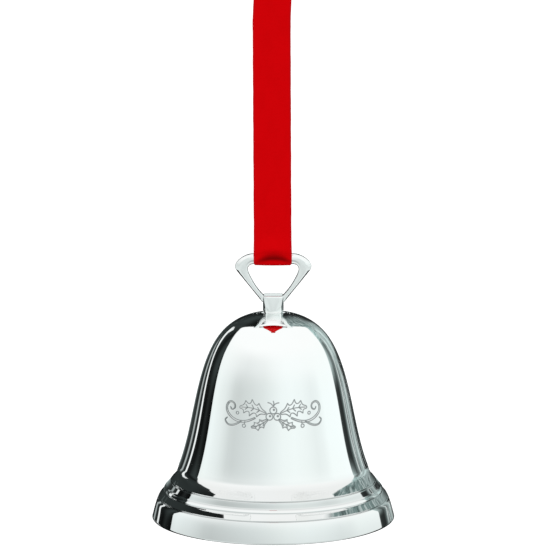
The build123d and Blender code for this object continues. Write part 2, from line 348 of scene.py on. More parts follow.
def fall(x, start, end):
    """1 at start, 0 at end, smooth between."""
    return 1.0 - rise(x, start, end)


def band(x, centre, half, soft=0.7):
    """1 inside a strip of the given half width, soft at both edges."""
    return fall(magnitude(x - centre), half - soft, half + soft)


def to_unit(x, lo, hi):
    """x carried straight from lo..hi to 0..1."""
    return add_node(x.tree, "ShaderNodeMapRange",
                    {"Value": x, "From Min": lo, "From Max": hi, "To Min": 0, "To Max": 1},
                    output="Result")


def ramp(x, stops):
    """A colour ramp; each stop is a position and a grey or a colour."""
    colour = add_node(x.tree, "ShaderNodeValToRGB", {0: x}, output="Color")
    elements = colour.socket.node.color_ramp.elements
    while len(elements) < len(stops):
        elements.new(0.5)
    for element, (position, tone) in zip(elements, stops):
        element.position = position
        element.color = tone if isinstance(tone, tuple) else (tone, tone, tone, 1)
    return colour


def curve(x, points, lo, hi, scale):
    """The line through (x, y) points over lo..hi, with y between 0 and scale."""
    stops = [((at - lo) / (hi - lo), y / scale) for at, y in points]
    return ramp(to_unit(x, lo, hi), stops) * scale


def mix(amount, low, high):
    """The colour low where amount is 0, high where it is 1."""
    return add_node(amount.tree, "ShaderNodeMix", {0: amount, 6: low, 7: high}, output=2,
                    data_type="RGBA")


def multiply_colours(first, second):
    return add_node(first.tree, "ShaderNodeMix", {0: 1.0, 6: first, 7: second}, output=2,
                    data_type="RGBA", blend_type="MULTIPLY")


def combine(x, y, z):
    return add_node(x.tree, "ShaderNodeCombineXYZ", {0: x, 1: y, 2: z})


def separate(vector):
    node = add_node(vector.tree, "ShaderNodeSeparateXYZ", {0: vector}).socket.node
    return [Value(vector.tree, out) for out in node.outputs]


def noise(vector, scale=1.0, detail=2.0, roughness=0.5):
    return add_node(vector.tree, "ShaderNodeTexNoise",
                    {"Vector": vector, "Scale": scale, "Detail": detail, "Roughness": roughness},
                    output="Fac", noise_dimensions="3D")


def bump(height, strength, distance_mm):
    return add_node(height.tree, "ShaderNodeBump",
                    {"Strength": strength, "Distance": distance_mm * MM, "Height": height})


def attribute(tree, name):
    return add_node(tree, "ShaderNodeAttribute", output="Fac", attribute_type="GEOMETRY",
                    attribute_name=name)


def object_mm(tree):
    """Object-space position in millimetres."""
    coords = add_node(tree, "ShaderNodeTexCoord", output="Object")
    return add_node(tree, "ShaderNodeVectorMath", {0: coords, "Scale": 1 / MM},
                    operation="SCALE")


def turned_coords(position):
    """Angle about Z, height and distance from Z."""
    x, y, z = separate(position)
    return maths("ARCTAN2", x, y), z, maths("SQRT", x * x + y * y)


def turned_noise(coords, around_scale, along_scale, detail, roughness):
    """Noise in rings: long round the axis, fine along it."""
    turn, z, radius = coords
    stretched = combine(turn * around_scale, z * along_scale, radius * along_scale)
    return noise(stretched, detail=detail, roughness=roughness)


# ---------------------------------------------------------------------------
# materials
# ---------------------------------------------------------------------------
def linear(level):
    """Linear light of an sRGB level on the 0 to 255 scale."""
    level = level / 255.0
    return level / 12.92 if level <= 0.04045 else ((level + 0.055) / 1.055) ** 2.4


def scaled(tone, red, green, blue):
    return (tone[0] * red, tone[1] * green, tone[2] * blue, 1)


def new_material(name):
    """An empty material: itself, its node tree and its principled shader node."""
    mat = bpy.data.materials.new(name)
    mat.use_nodes = True
    tree = mat.node_tree
    tree.nodes.clear()
    out = tree.nodes.new("ShaderNodeOutputMaterial")
    shader = tree.nodes.new("ShaderNodeBsdfPrincipled")
    tree.links.new(shader.outputs[0], out.inputs[0])
    return mat, tree, shader


# painted shade of the bell near its lip, multiplied into its colour in place of darker
# reflections there, with a dark line along the lower edge: (height as a part of LIP_SHADE_TOP,
# grey)
LIP_SHADE_TOP = 16.0
LIP_SHADE = [
    (0.0, 0.30), (0.006, 0.42), (0.012, 0.84), (0.09, 0.86), (0.25, 0.93), (0.32, 0.96),
    (0.345, 0.92), (0.375, 0.90), (0.445, 0.91), (0.475, 0.97), (0.505, 0.90), (0.53, 0.80),
    (0.56, 0.78), (0.59, 0.86), (0.61, 0.90), (0.65, 0.88), (0.76, 0.88), (0.86, 0.97),
    (0.92, 1.0), (1.0, 1.0),
]


def polished_silver(name, tone, rough, marks=1.0, dull=0.0, bell=False):
    """Silver plate polished round its axis: near mirror, faint rings, slight toning.

    marks scales the polishing rings and dull is extra roughness in the toned clouds.
    """
    mat, tree, shader = new_material(name)
    position = object_mm(tree)
    coords = turned_coords(position)
    fine = turned_noise(coords, around_scale=2.6, along_scale=9.0, detail=3.0, roughness=0.62)
    coarse = turned_noise(coords, around_scale=1.2, along_scale=1.7, detail=2.0, roughness=0.5)
    cloud = noise(position, scale=0.055, detail=3.0, roughness=0.55)
    colour = mix(rise(cloud, 0.35, 0.75), (*tone, 1), scaled(tone, 0.990, 0.984, 0.975))
    roughness = (fine - 0.5) * (0.014 * marks) + rough
    roughness = roughness + rise(cloud, 0.4, 0.8) * (0.006 + dull)
    if bell:
        # painted shade: darker bands near the lip and a dark line at its lower edge
        lip = ramp(to_unit(coords[1], 0.0, LIP_SHADE_TOP), LIP_SHADE)
        # painted shade: the turned lines are darkened in place of the dark reflections in them;
        # the engraved grooves are darkened by their depth
        cut = attribute(tree, "cut")
        cuts_darkened = mix(maths("POWER", cut, 0.75), (1, 1, 1, 1), (0.20, 0.215, 0.22, 1))
        colour = multiply_colours(multiply_colours(colour, lip), cuts_darkened)
        roughness = roughness + cut * 0.20
    fill(shader, {
        "Base Color": colour,
        "Metallic": 1.0,
        "Roughness": maths("MAXIMUM", roughness, 0.004),
        "Normal": bump(fine * 0.35 + coarse, strength=0.10 * marks, distance_mm=0.010),
    })
    return mat


def spun_silver(name):
    """The inside of the bell: satin plate with visible turning lines."""
    mat, tree, shader = new_material(name)
    position = object_mm(tree)
    lines = turned_noise(turned_coords(position), around_scale=0.8, along_scale=5.0,
                         detail=4.0, roughness=0.7)
    cloud = noise(position, scale=0.12, detail=3.0, roughness=0.6)
    colour = mix(lines, (0.62, 0.625, 0.60, 1), (0.80, 0.805, 0.785, 1))
    toned = rise(cloud, 0.5, 0.8) * 0.45
    fill(shader, {
        "Base Color": mix(toned, colour, (0.55, 0.50, 0.40, 1)),
        "Metallic": 1.0,
        "Roughness": 0.20 + lines * 0.16,
        "Normal": bump(lines, strength=0.35, distance_mm=0.03),
    })
    return mat


def fixing_metal(name):
    """Nickel-plated steel fasteners, lightly grained and blotched."""
    tone = (0.60, 0.60, 0.585)
    mat, tree, shader = new_material(name)
    position = object_mm(tree)
    grain = noise(position, scale=2.2, detail=4.0, roughness=0.65)
    blot = noise(position, scale=0.5, detail=2.0, roughness=0.5)
    colour = mix(grain, scaled(tone, 0.86, 0.86, 0.85), scaled(tone, 1.1, 1.1, 1.1))
    stained = rise(blot, 0.55, 0.8) * 0.3
    fill(shader, {
        "Base Color": mix(stained, colour, (0.36, 0.33, 0.28, 1)),
        "Metallic": 1.0,
        "Roughness": 0.24 + (grain - 0.5) * 0.16,
        "Normal": bump(grain, strength=0.25, distance_mm=0.015),
    })
    return mat


def ribbon_cloth(name):
    """Red woven ribbon: plain weave with fine cross ribs, firm selvedges, soft sheen."""
    warp_pitch, weft_pitch = 0.21, 0.30
    mat, tree, shader = new_material(name)
    strip = add_node(tree, "ShaderNodeUVMap", uv_map="strip")
    across, along, _ = separate(strip)          # millimetres across and along the strip
    warp = maths("SINE", across * (2 * math.pi / warp_pitch))
    weft = maths("SINE", along * (2 * math.pi / weft_pitch)
                 + maths("SINE", across * (math.pi / warp_pitch)) * 0.5)
    weave = weft * 0.62 + warp * weft * 0.38
    slub = noise(combine(across * 0.55, along * 5.0, 0.0), detail=3.0, roughness=0.6)
    patch = noise(combine(across * 0.35, along * 0.16, 3.0), detail=2.0, roughness=0.5)
    edge = rise(magnitude(across), 4.15, 4.62)
    crease_painted_shade = attribute(tree, "crease_painted_shade")

    # each layer of red: how much of it shows, and its colour
    colour = (0.585, 0.0002, 0.0016, 1)
    for amount, layer in (
        ((weave * 0.5 + 0.5) * 0.35, (0.68, 0.0006, 0.0028, 1)),
        (rise(slub, 0.45, 0.75) * 0.30, (0.71, 0.0008, 0.0034, 1)),
        (rise(patch, 0.4, 0.75) * 0.35, (0.55, 0.0002, 0.0014, 1)),
        (edge * 0.60, (0.42, 0.0040, 0.0080, 1)),
        # painted shade: dark red in the nip under the swell and under the bar
        (crease_painted_shade, (0.15, 0.0002, 0.0006, 1)),
    ):
        colour = mix(amount, colour, layer)
    fill(shader, {
        "Base Color": colour,
        "Roughness": 0.62 + (slub - 0.5) * 0.2,
        "Specular IOR Level": 0.012,
        "Sheen Weight": 0.06,
        "Sheen Roughness": 0.5,
        "Sheen Tint": (0.9, 0.0, 0.01, 1),
        "Normal": bump(weave + edge * 0.7 + slub * 0.8, strength=0.30, distance_mm=0.035),
    })
    return mat


def thread_cotton(name):
    """Red twisted sewing thread."""
    mat, tree, shader = new_material(name)
    position = object_mm(tree)
    x, y, z = separate(position)
    twist = maths("SINE", z * 26.0 + (x + y) * 18.0)
    fuzz = noise(position, scale=6.0, detail=3.0, roughness=0.7)
    colour = mix(twist * 0.35 + 0.5, (0.33, 0.0012, 0.004, 1), (0.56, 0.0025, 0.008, 1))
    fill(shader, {
        "Base Color": mix(rise(fuzz, 0.4, 0.8) * 0.3, colour, (0.62, 0.006, 0.012, 1)),
        "Roughness": 0.55 + fuzz * 0.2,
        "Specular IOR Level": 0.15,
        "Normal": bump(twist + fuzz, strength=0.5, distance_mm=0.03),
    })
    return mat


MAT_BELL = polished_silver("silver_plate_bell", tone=(0.930, 0.948, 0.943), rough=0.010,
                           bell=True)
MAT_INNER = spun_silver("silver_plate_spun_inside")
MAT_CAST = polished_silver("silver_plate_cast", tone=(0.915, 0.935, 0.930), rough=0.05,
                           marks=0.7, dull=0.02)
MAT_CLAPPER = polished_silver("silver_plate_clapper", tone=(0.86, 0.865, 0.845), rough=0.09,
                              marks=0.8, dull=0.05)
MAT_FIX = fixing_metal("nickel_fixings")
MAT_RIBBON = ribbon_cloth("red_ribbon_weave")
MAT_THREAD = thread_cotton("red_thread_twist")


# ---------------------------------------------------------------------------
# bell shell: the plain curve and the turned mouldings
# ---------------------------------------------------------------------------
# the outside without its mouldings, from lip to crown: (height, radius)
FAIR_PROFILE = [
    (0.000, 31.262), (1.869, 30.784), (3.738, 30.246), (5.537, 29.533), (7.161, 28.504),
    (8.659, 27.258), (10.188, 26.067), (11.838, 25.090), (13.597, 24.313), (15.420, 23.666),
    (17.276, 23.100), (19.150, 22.588), (21.034, 22.121), (22.925, 21.688), (24.819, 21.279),
    (26.711, 20.884), (28.601, 20.493), (30.487, 20.095), (32.367, 19.681), (34.242, 19.240),
    (36.113, 18.761), (37.979, 18.234), (39.834, 17.643), (41.667, 16.974), (43.459, 16.207),
    (45.185, 15.321), (46.815, 14.290), (48.315, 13.094), (49.657, 11.725), (50.815, 10.186),
    (51.770, 8.496), (52.509, 6.687), (53.020, 4.803), (53.300, 2.903),
]
# turned lines above the lip: (height, depth, half width, how dark the line is painted, a painted
# shade in place of its dark reflection)
LINES = [(9.80, 0.18, 0.14, 0.30), (8.14, 0.05, 0.12, 0.10), (7.36, 0.09, 0.12, 0.22),
         (5.52, 0.17, 0.15, 0.34)]
# coves above a small sharp ledge: (ledge height, depth, run of the ledge, length of the cove)
COVES = [(9.86, 0.26, 1.70, 4.6), (5.62, 0.20, 1.50, 2.5)]
# how the mouldings face: (height, elevation in degrees, weight over the plain curve)
FACING = np.array([
    (5.60, 66, 0), (5.70, 67.3, 1), (6.60, 66.9, 1), (6.95, 66.2, 1), (7.15, 64.5, 1),
    (7.26, 60, 0), (8.28, 12, 0), (8.42, 12, 1), (9.50, 13, 1), (9.64, 16, 0), (9.96, 67, 0),
    (10.03, 67.4, 1), (10.25, 66.9, 1), (10.55, 65.8, 1), (11.05, 64.6, 1), (11.60, 63.0, 1),
    (12.10, 60.0, 1), (12.50, 53, 1), (12.95, 42, 1), (13.40, 33, 1), (13.90, 28, 0),
    (50.40, 57, 0), (51.15, 64.5, 1), (51.80, 69.5, 1), (52.50, 74, 0),
])
# fine polishing rings round the foot of the handle
RIPPLE_START, RIPPLE_END, RIPPLE_PITCH, RIPPLE_DEPTH = 51.25, 53.25, 0.50, 0.024


def fair_normals():
    """Outward normals (radial, z) of the plain curve, smoothed along it."""
    steps = np.diff(fair, axis=0)
    lengths = np.linalg.norm(steps, axis=1)[:, None]
    steps = steps / lengths
    middle = steps[:-1] * lengths[1:] + steps[1:] * lengths[:-1]
    normals = unit(-quarter_turn(np.vstack([steps[:1], middle, steps[-1:]])))
    for _ in range(3):
        normals[1:-1] = (normals[:-2] + 2 * normals[1:-1] + normals[2:]) / 4
    return unit(normals)


fair = spline_through([(radius, z) for z, radius in FAIR_PROFILE], 6001)
fair_arc = arc_lengths(fair)
fair_normal = fair_normals()


def arc_at(z):
    """Distance along the plain curve, from the lip, at a height."""
    return float(np.interp(z, fair[:, 1], fair_arc))


def fair_at(arc):
    """Radius, z and normal (radial, z) of the plain curve."""
    columns = (*fair.T, *fair_normal.T)
    return [np.interp(arc, fair_arc, column) for column in columns]


def soft_step(x, eased=0.2):
    """0 to 1 with a straight middle and eased ends, and its slope."""
    x = np.clip(x, 0, 1)
    steep = 1 / (1 - eased)
    low, high = x < eased, x > 1 - eased
    value = np.where(low, steep * x * x / (2 * eased),
                     np.where(high, 1 - steep * (1 - x) ** 2 / (2 * eased),
                              steep * (x - eased / 2)))
    slope = np.where(low, steep * x / eased,
                     np.where(high, steep * (1 - x) / eased, steep))
    return value, slope


def moulding(arc):
    """How far the surface stands inside the plain curve, its slope, and the painted shade of the
    turned lines.
    """
    inset, slope, cut = (np.zeros_like(arc) for _ in range(3))
    for z, depth, half, dark in LINES:
        u = (arc - arc_at(z)) / half
        bell_curve = np.exp(-(u**2))
        inset += depth * bell_curve
        slope += depth * bell_curve * (-2 * u / half)
        # painted shade along each turned line
        cut = np.maximum(cut, dark * bell_curve)
    for z, depth, run, length in COVES:
        u = arc - arc_at(z)
        up, up_slope = soft_step(u / run)
        down, down_slope = soft_step((u - run) / (length - run), 0.3)
        inside = (u > 0) & (u < length)
        inset += np.where(inside, depth * up * (1 - down), 0)
        turn = up_slope / run * (1 - down) - up * down_slope / (length - run)
        slope += np.where(inside, depth * turn, 0)
    u = arc - arc_at(RIPPLE_START)
    length = arc_at(RIPPLE_END) - arc_at(RIPPLE_START)
    inside = (u > 0) & (u < length)
    swell = np.sin(math.pi * np.clip(u / length, 0, 1) ** 1.6) ** 0.8
    phase = 2 * math.pi * u / RIPPLE_PITCH
    inset += np.where(inside, RIPPLE_DEPTH * swell * (1 - np.cos(phase)) / 2, 0)
    slope += np.where(inside, RIPPLE_DEPTH * swell * math.pi / RIPPLE_PITCH * np.sin(phase), 0)
    return inset, slope, cut


def outer_point(arc):
    """Radius, z and normal (radial, z) of the moulded outside."""
    radius, z, normal_r, normal_z = fair_at(arc)
    inset, slope, _ = moulding(arc)
    # the upward tangent of the plain curve is (-normal_z, normal_r)
    normal = unit(np.stack([normal_r - slope * normal_z, normal_z + slope * normal_r], -1))
    return radius - inset * normal_r, z - inset * normal_z, normal[:, 0], normal[:, 1]


def ledge_normal(z, normal_r, normal_z, angle):
    """Normal of the mouldings: the low ledges open out away from the front centre line."""
    heights, elevations, weights = FACING.T
    if not heights[0] < z < heights[-1]:
        return normal_r, normal_z
    want = math.radians(float(np.interp(z, heights, elevations)))
    if z < 20:
        centre = min(want, math.radians(49))
        away = (abs(wrapped(angle)) - math.radians(3.0)) / math.radians(12.0)
        want = centre + (want - centre) * ease(away)
    tilt = math.atan2(normal_z, normal_r)
    tilt += (want - tilt) * float(np.interp(z, heights, weights))
    return math.cos(tilt), math.sin(tilt)


def shading_angle(z, angle):
    """The lip is shaded a little flatter across its front than a true circle."""
    flatten = 0.10 * clamp(5.4 - z) if z > 0.15 else 0.0
    side = wrapped(angle)
    front_limit = math.radians(100)
    beyond = abs(side) - front_limit
    if beyond > 0:
        fade = max(0.0, 1 - beyond / math.radians(80))
        return angle - flatten * math.copysign(front_limit, side) * fade
    return angle - flatten * side


# ---------------------------------------------------------------------------
# bell shell: engraved holly sprig, as polylines of (right, up) from its middle
# ---------------------------------------------------------------------------
GROOVE_HALF_WIDTH = 0.185
GROOVE_DEPTH = 0.085
ORNAMENT_Z = 30.85

VINE = [(4.6, -0.95), (6.6, -1.75), (8.9, -1.95), (11.0, -1.15), (12.35, 0.35), (12.30, 1.95),
        (11.2, 2.75), (10.15, 2.15), (10.25, 1.10), (11.05, 0.85), (11.35, 1.40)]
LOW_VINE = [(8.3, -1.95), (9.7, -2.75), (11.2, -3.15), (12.5, -2.75), (12.9, -1.85),
            (12.35, -1.35)]
BERRY_STALK = [(7.3, -1.95), (7.35, -2.35), (7.5, -2.65)]
MIDDLE_BERRIES = [(-0.98, -0.55), (0.98, -0.55), (0.0, 1.05)]
TOP_TENDRILS = [
    [(0, 2.1), (0.15, 2.7), (0.0, 3.35)],
    [(0, 2.1), (-0.7, 2.8), (-1.35, 3.0)],
    [(0, 2.1), (0.75, 2.8), (1.4, 2.95)],
]


def circle_line(x, y, radius, count=28):
    a = np.linspace(0, 2 * math.pi, count + 1)
    return np.stack([x + radius * np.cos(a), y + radius * np.sin(a)], 1)


def stroke_outline(points, start_half, end_half):
    """Both sides of a tapering stroke, closed at its ends."""
    sideways = quarter_turn(unit(np.gradient(points, axis=0)))
    t = np.linspace(0, 1, len(points))
    taper = np.sin(math.pi * (t * 0.94 + 0.05)) ** 0.45
    offset = sideways * ((start_half + (end_half - start_half) * t) * taper)[:, None]
    one, other = points + offset, points - offset
    return np.vstack([one, other[::-1], one[:1]])


def leaf_lines(base, tip, sag, width, spikes):
    """A holly leaf: scalloped outline with spines, midrib and short side veins."""
    base = np.array(base, float)
    axis = np.array(tip, float) - base
    along = unit(axis)
    sideways = np.array([-along[1], along[0]])
    t = np.linspace(0, 1, 130)
    midrib = base + np.outer(t, axis) + np.outer(sag * np.sin(math.pi * t), sideways)
    envelope = np.sin(math.pi * t) ** 0.72 * (1 - 0.12 * t)
    scallop = 0.50 + 0.50 * (1 - np.abs(np.sin(math.pi * (t * spikes)))) ** 1.25
    half = width / 2 * envelope * scallop
    spread, lean = np.outer(half, sideways), np.outer(0.30 * half, along)
    outline = np.vstack([midrib + spread + lean, (midrib - spread + lean)[::-1]])
    lines = [outline, midrib[4:-8]]
    for place in (0.26, 0.48, 0.70):
        i = int(place * 129)
        for sign in (1, -1):
            end = midrib[i] + sign * sideways * half[i + 12] * 0.62 + along * 0.62
            lines.append(np.stack([midrib[i], end]))
    return lines


def ornament_lines():
    right = [
        *leaf_lines((1.75, 0.25), (8.7, 1.55), sag=0.55, width=4.6, spikes=4),
        *leaf_lines((1.35, -1.2), (5.6, -3.35), sag=-0.35, width=2.7, spikes=3),
        stroke_outline(spline_through(VINE, 150), 0.30, 0.14),
        stroke_outline(spline_through(LOW_VINE, 70), 0.20, 0.10),
        circle_line(7.55, -3.05, 0.42, 18),
        circle_line(9.35, 0.05, 0.36, 16),
        spline_through(BERRY_STALK, 10),
    ]
    lines = right + [line * np.array([-1, 1]) for line in right]
    for x, y in MIDDLE_BERRIES:
        lines.append(circle_line(x, y, 0.86))
        lines.append(circle_line(x + 0.16, y + 0.16, 0.17, 10))     # highlight
    return lines + [spline_through(tendril, 12) for tendril in TOP_TENDRILS]


def groove_field(right, up):
    """Depth of a rounded V groove along the ornament's lines, and its gradient."""
    points = np.stack([right.ravel(), up.ravel()], 1)
    distance = np.full(len(points), 1e9)
    nearest = np.zeros((len(points), 2))
    margin = GROOVE_HALF_WIDTH * 1.6
    lines = ornament_lines()
    starts = np.vstack([line[:-1] for line in lines])
    ends = np.vstack([line[1:] for line in lines])
    for start, end in zip(starts, ends):
        lo, hi = np.minimum(start, end) - margin, np.maximum(start, end) + margin
        close = np.where(((points >= lo) & (points <= hi)).all(1))[0]
        if not len(close):
            continue
        step = end - start
        t = np.clip(((points[close] - start) @ step) / max((step**2).sum(), 1e-12), 0, 1)
        foot = start + t[:, None] * step
        away = np.linalg.norm(points[close] - foot, axis=1)
        better = away < distance[close]
        distance[close[better]] = away[better]
        nearest[close[better]] = foot[better]
    x = np.clip(distance / GROOVE_HALF_WIDTH, 0, 1)
    depth = GROOVE_DEPTH * (1 - x) ** 1.25 * (1 + 0.6 * x)
    slope = np.where(x < 1, GROOVE_DEPTH / GROOVE_HALF_WIDTH
                     * (-1.25 * (1 - x) ** 0.25 * (1 + 0.6 * x) + 0.6 * (1 - x) ** 1.25), 0)
    slope = slope * np.clip(distance / (0.18 * GROOVE_HALF_WIDTH), 0, 1)
    away = points - nearest
    gradient = slope[:, None] * away / np.maximum(np.linalg.norm(away, axis=1), 1e-9)[:, None]
    return [field.reshape(right.shape) for field in (depth, gradient[:, 0], gradient[:, 1])]


# ---------------------------------------------------------------------------
# bell shell: the mesh
# ---------------------------------------------------------------------------
SHELL_COLUMNS = 216
PATCH_LEFT, PATCH_RIGHT = -24, 24       # columns: 40 degrees each side of the front
PATCH_BOTTOM, PATCH_TOP, PATCH_ROWS = 26.3, 35.5, 10
# bands of rows, each starting where the last ends: (height at its end, rows)
ROWS_START = 0.22
ROWS_BELOW_PATCH = [(0.46, 3), (5.0, 9), (6.3, 26), (7.1, 8), (7.65, 10), (7.95, 3), (8.35, 8),
                    (9.5, 6), (10.5, 22), (15.2, 24), (PATCH_BOTTOM, 13)]
ROWS_ABOVE_PATCH = [(47.0, 18), (51.25, 11), (53.28, 36)]
INNER_ROWS_START = 52.9
INNER_ROWS = [(46.0, 16), (12.0, 26), (0.55, 20)]
HOLE_R = 1.60                           # hole in the crown
HOLE_EDGE = 0.08                        # size of its broken edges


def arcs_through(start, bands):
    """Arc lengths of the rows of a chain of bands, the last band with its end."""
    arcs = []
    for number, (end, count) in enumerate(bands, 1):
        arcs.extend(np.linspace(arc_at(start), arc_at(end), count,
                                endpoint=number == len(bands)))
        start = end
    return np.array(arcs)


def shell_profile(outer_arcs):
    """Closed profile: (radius, z, radial normal, z normal, 1 on the inside)."""
    outer_r, outer_z, normal_r, normal_z = outer_point(outer_arcs)
    # the lip's outer edge is eased under
    normal_z = normal_z - 0.62 * np.clip((0.42 - outer_z) / 0.20, 0, 1)
    profile = [(*point, 0) for point in zip(outer_r, outer_z, normal_r, normal_z)]

    seat_z = shell_hi[2]
    under_z = seat_z - WALL
    edge_r = HOLE_R + HOLE_EDGE
    profile += [
        (2.60, seat_z, 0, 1, 0), (2.0, seat_z, 0, 1, 0), (edge_r, seat_z, 0, 1, 0),
        (HOLE_R, seat_z - HOLE_EDGE, -1, 0, 1), (HOLE_R, under_z + HOLE_EDGE, -1, 0, 1),
        (edge_r, under_z, 0, -1, 1), (2.4, under_z, 0, -1, 1), (3.3, under_z, 0, -1, 1),
    ]
    for radius, z, nr, nz in zip(*fair_at(arcs_through(INNER_ROWS_START, INNER_ROWS))):
        profile.append((radius - WALL * nr, z - WALL * nz, -nr, -nz, 1))

    # lip: a flat foot with both edges eased
    lip_in, lip_out, lip_z = profile[-1][0] + 0.06, float(outer_r[0]), shell_lo[2]
    profile += [
        (lip_in, lip_z + 0.10, -0.9, -0.3, 1), (lip_in + 0.10, lip_z, -0.1, -1, 0),
        (lip_in + 0.30, lip_z, 0, -1, 0), (lip_out - 0.22, lip_z, 0, -1, 0),
        (lip_out - 0.10, lip_z, 0.1, -1, 0), (lip_out + 0.005, lip_z + 0.045, 0.62, -0.78, 0),
        (lip_out + 0.045, lip_z + 0.12, 0.80, -0.60, 0),
    ]
    return profile


def build_shell():
    # fine columns and rows of the engraved patch for each coarse one
    per_column, per_row = ((7, 11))
    bands = ROWS_BELOW_PATCH + [(PATCH_TOP, PATCH_ROWS)] + ROWS_ABOVE_PATCH
    outer_arcs = arcs_through(ROWS_START, bands)
    patch_start = sum(count for _, count in ROWS_BELOW_PATCH)
    patch_end = patch_start + PATCH_ROWS
    profile = shell_profile(outer_arcs)
    # painted shade of the turned lines, for each ring
    ring_line_shade = list(moulding(outer_arcs)[2]) + [0.0] * (len(profile) - len(outer_arcs))
    verts, normals, cuts = [], [], []

    # the rings, left open inside the patch
    inside_columns = {j % SHELL_COLUMNS for j in range(PATCH_LEFT + 1, PATCH_RIGHT)}
    grid = -np.ones((len(profile), SHELL_COLUMNS), int)
    for i, (radius, z, profile_r, profile_z, _) in enumerate(profile):
        for j in range(SHELL_COLUMNS):
            if patch_start < i < patch_end and j in inside_columns:
                continue
            angle = shade = 2 * math.pi * j / SHELL_COLUMNS
            nr, nz = profile_r, profile_z
            if i < len(outer_arcs):
                shade = shading_angle(z, angle)
                nr, nz = ledge_normal(z, nr, nz, angle)
            grid[i, j] = len(verts)
            verts.append(around(radius, angle, z))
            normals.append(around(nr, shade, nz))
            cuts.append(ring_line_shade[i])

    # the dense patch, sharing the ring vertices on its border
    wide = (PATCH_RIGHT - PATCH_LEFT) * per_column
    tall = PATCH_ROWS * per_row
    angles = np.array([2 * math.pi * (PATCH_LEFT + a / per_column) / SHELL_COLUMNS
                       for a in range(wide + 1)])
    arcs = np.linspace(arc_at(PATCH_BOTTOM), arc_at(PATCH_TOP), tall + 1)
    radii, heights, normals_r, normals_z = outer_point(arcs)
    up = np.repeat((arcs - arc_at(ORNAMENT_Z))[:, None], wide + 1, 1)
    fields = groove_field(np.outer(radii, angles), up)
    for field in fields:
        field[[0, -1]] = 0
        field[:, [0, -1]] = 0
    depth, slope_right, slope_up = fields
    upward = np.array([0, 0, 1.0])
    dense = -np.ones((tall + 1, wide + 1), int)
    for b in range(tall + 1):
        for a in range(wide + 1):
            border = a in (0, wide) or b in (0, tall)
            if border and a % per_column == 0 and b % per_row == 0:
                column = (PATCH_LEFT + a // per_column) % SHELL_COLUMNS
                dense[b, a] = grid[patch_start + b // per_row, column]
                continue
            angle, nr, nz = angles[a], normals_r[b], normals_z[b]
            outward = np.array(around(1.0, angle, 0.0))
            sideways = np.array([math.cos(angle), math.sin(angle), 0.0])
            normal = nr * outward + nz * upward
            place = radii[b] * outward + heights[b] * upward - normal * depth[b, a]
            normal = (normal + sideways * slope_right[b, a]
                      + (nr * upward - nz * outward) * slope_up[b, a])
            dense[b, a] = len(verts)
            verts.append(tuple(place))
            normals.append(tuple(unit(normal)))
            # the grooves are darkened in the bell's colour by their depth
            cuts.append(depth[b, a] / GROOVE_DEPTH)

    # dense vertices that lie between two neighbouring ring vertices on the border
    between = {}
    for border, step in ((dense[0], per_column), (dense[-1], per_column),
                         (dense[:, 0], per_row), (dense[:, -1], per_row)):
        for start in range(0, len(border) - 1, step):
            run = border[start:start + step + 1].tolist()
            between[run[0], run[-1]] = run[1:-1]
            between[run[-1], run[0]] = run[-2:0:-1]

    faces, face_materials = [], []
    patch_columns = {j % SHELL_COLUMNS for j in range(PATCH_LEFT, PATCH_RIGHT)}
    grid = grid.tolist()
    for i in range(len(profile)):
        above = (i + 1) % len(profile)
        for j in range(SHELL_COLUMNS):
            if patch_start <= i < patch_end and j in patch_columns:
                continue
            right = (j + 1) % SHELL_COLUMNS
            corners = [grid[i][j], grid[i][right], grid[above][right], grid[above][j]]
            face = []
            for corner, following in zip(corners, corners[1:] + corners[:1]):
                face += [corner, *between.get((corner, following), [])]
            faces.append(tuple(face))
            face_materials.append(1 if profile[i][4] and profile[above][4] else 0)
    dense = dense.tolist()
    for low, high in zip(dense, dense[1:]):
        for a in range(wide):
            faces.append((low[a], low[a + 1], high[a + 1], high[a]))
            face_materials.append(0)
    obj = make_object("bell_shell_engraved", verts, faces, [MAT_BELL, MAT_INNER], BODY_BELL,
                      "bell_shell", "silver_plate", normals, face_materials)
    add_point_values(obj.data, "cut", cuts)


# ---------------------------------------------------------------------------
# handle
# ---------------------------------------------------------------------------
# matching points on the loop's two outlines, from the middle of the bar down the right leg:
# (outer x, outer drop from the bar's top, inner x, inner drop from its underside,
#  half depth, squareness exponent of the section)
LOOP_STATIONS = np.array([
    (0.00, 0.00, 0.00, 0.00, 1.38, 2.0),
    (2.60, 0.00, 2.60, 0.00, 1.38, 2.0),
    (4.85, 0.00, 4.75, 0.00, 1.38, 2.0),
    (5.90, 0.08, 5.35, 0.02, 1.36, 2.2),
    (7.15, 0.52, 5.95, 0.22, 1.32, 3.1),
    (8.30, 1.22, 6.33, 0.62, 1.28, 4.4),
    (9.20, 2.05, 6.47, 1.10, 1.25, 5.8),
    (9.70, 2.90, 6.44, 1.62, 1.22, 7.0),
    (9.74, 3.60, 6.28, 2.15, 1.20, 7.0),
    (9.38, 4.32, 5.98, 2.85, 1.18, 7.0),
    (8.60, 5.30, 5.46, 3.90, 1.16, 7.0),
    (7.30, 6.92, 4.65, 5.30, 1.14, 7.0),
    (5.90, 8.66, 3.62, 6.72, 1.12, 7.0),
    (4.50, 10.40, 2.62, 7.86, 1.10, 7.0),
    (3.42, 11.75, 1.80, 8.86, 1.08, 6.0),
    (2.92, 12.40, 1.45, 9.60, 1.06, 5.0),
])
LOOP_SAMPLES = 90                       # sections from the middle of the bar to a leg's end
LOOP_SIDES = 56
LOOP_EDGE_LIMIT = 1.47                  # outer edges are flattened beyond this x + y


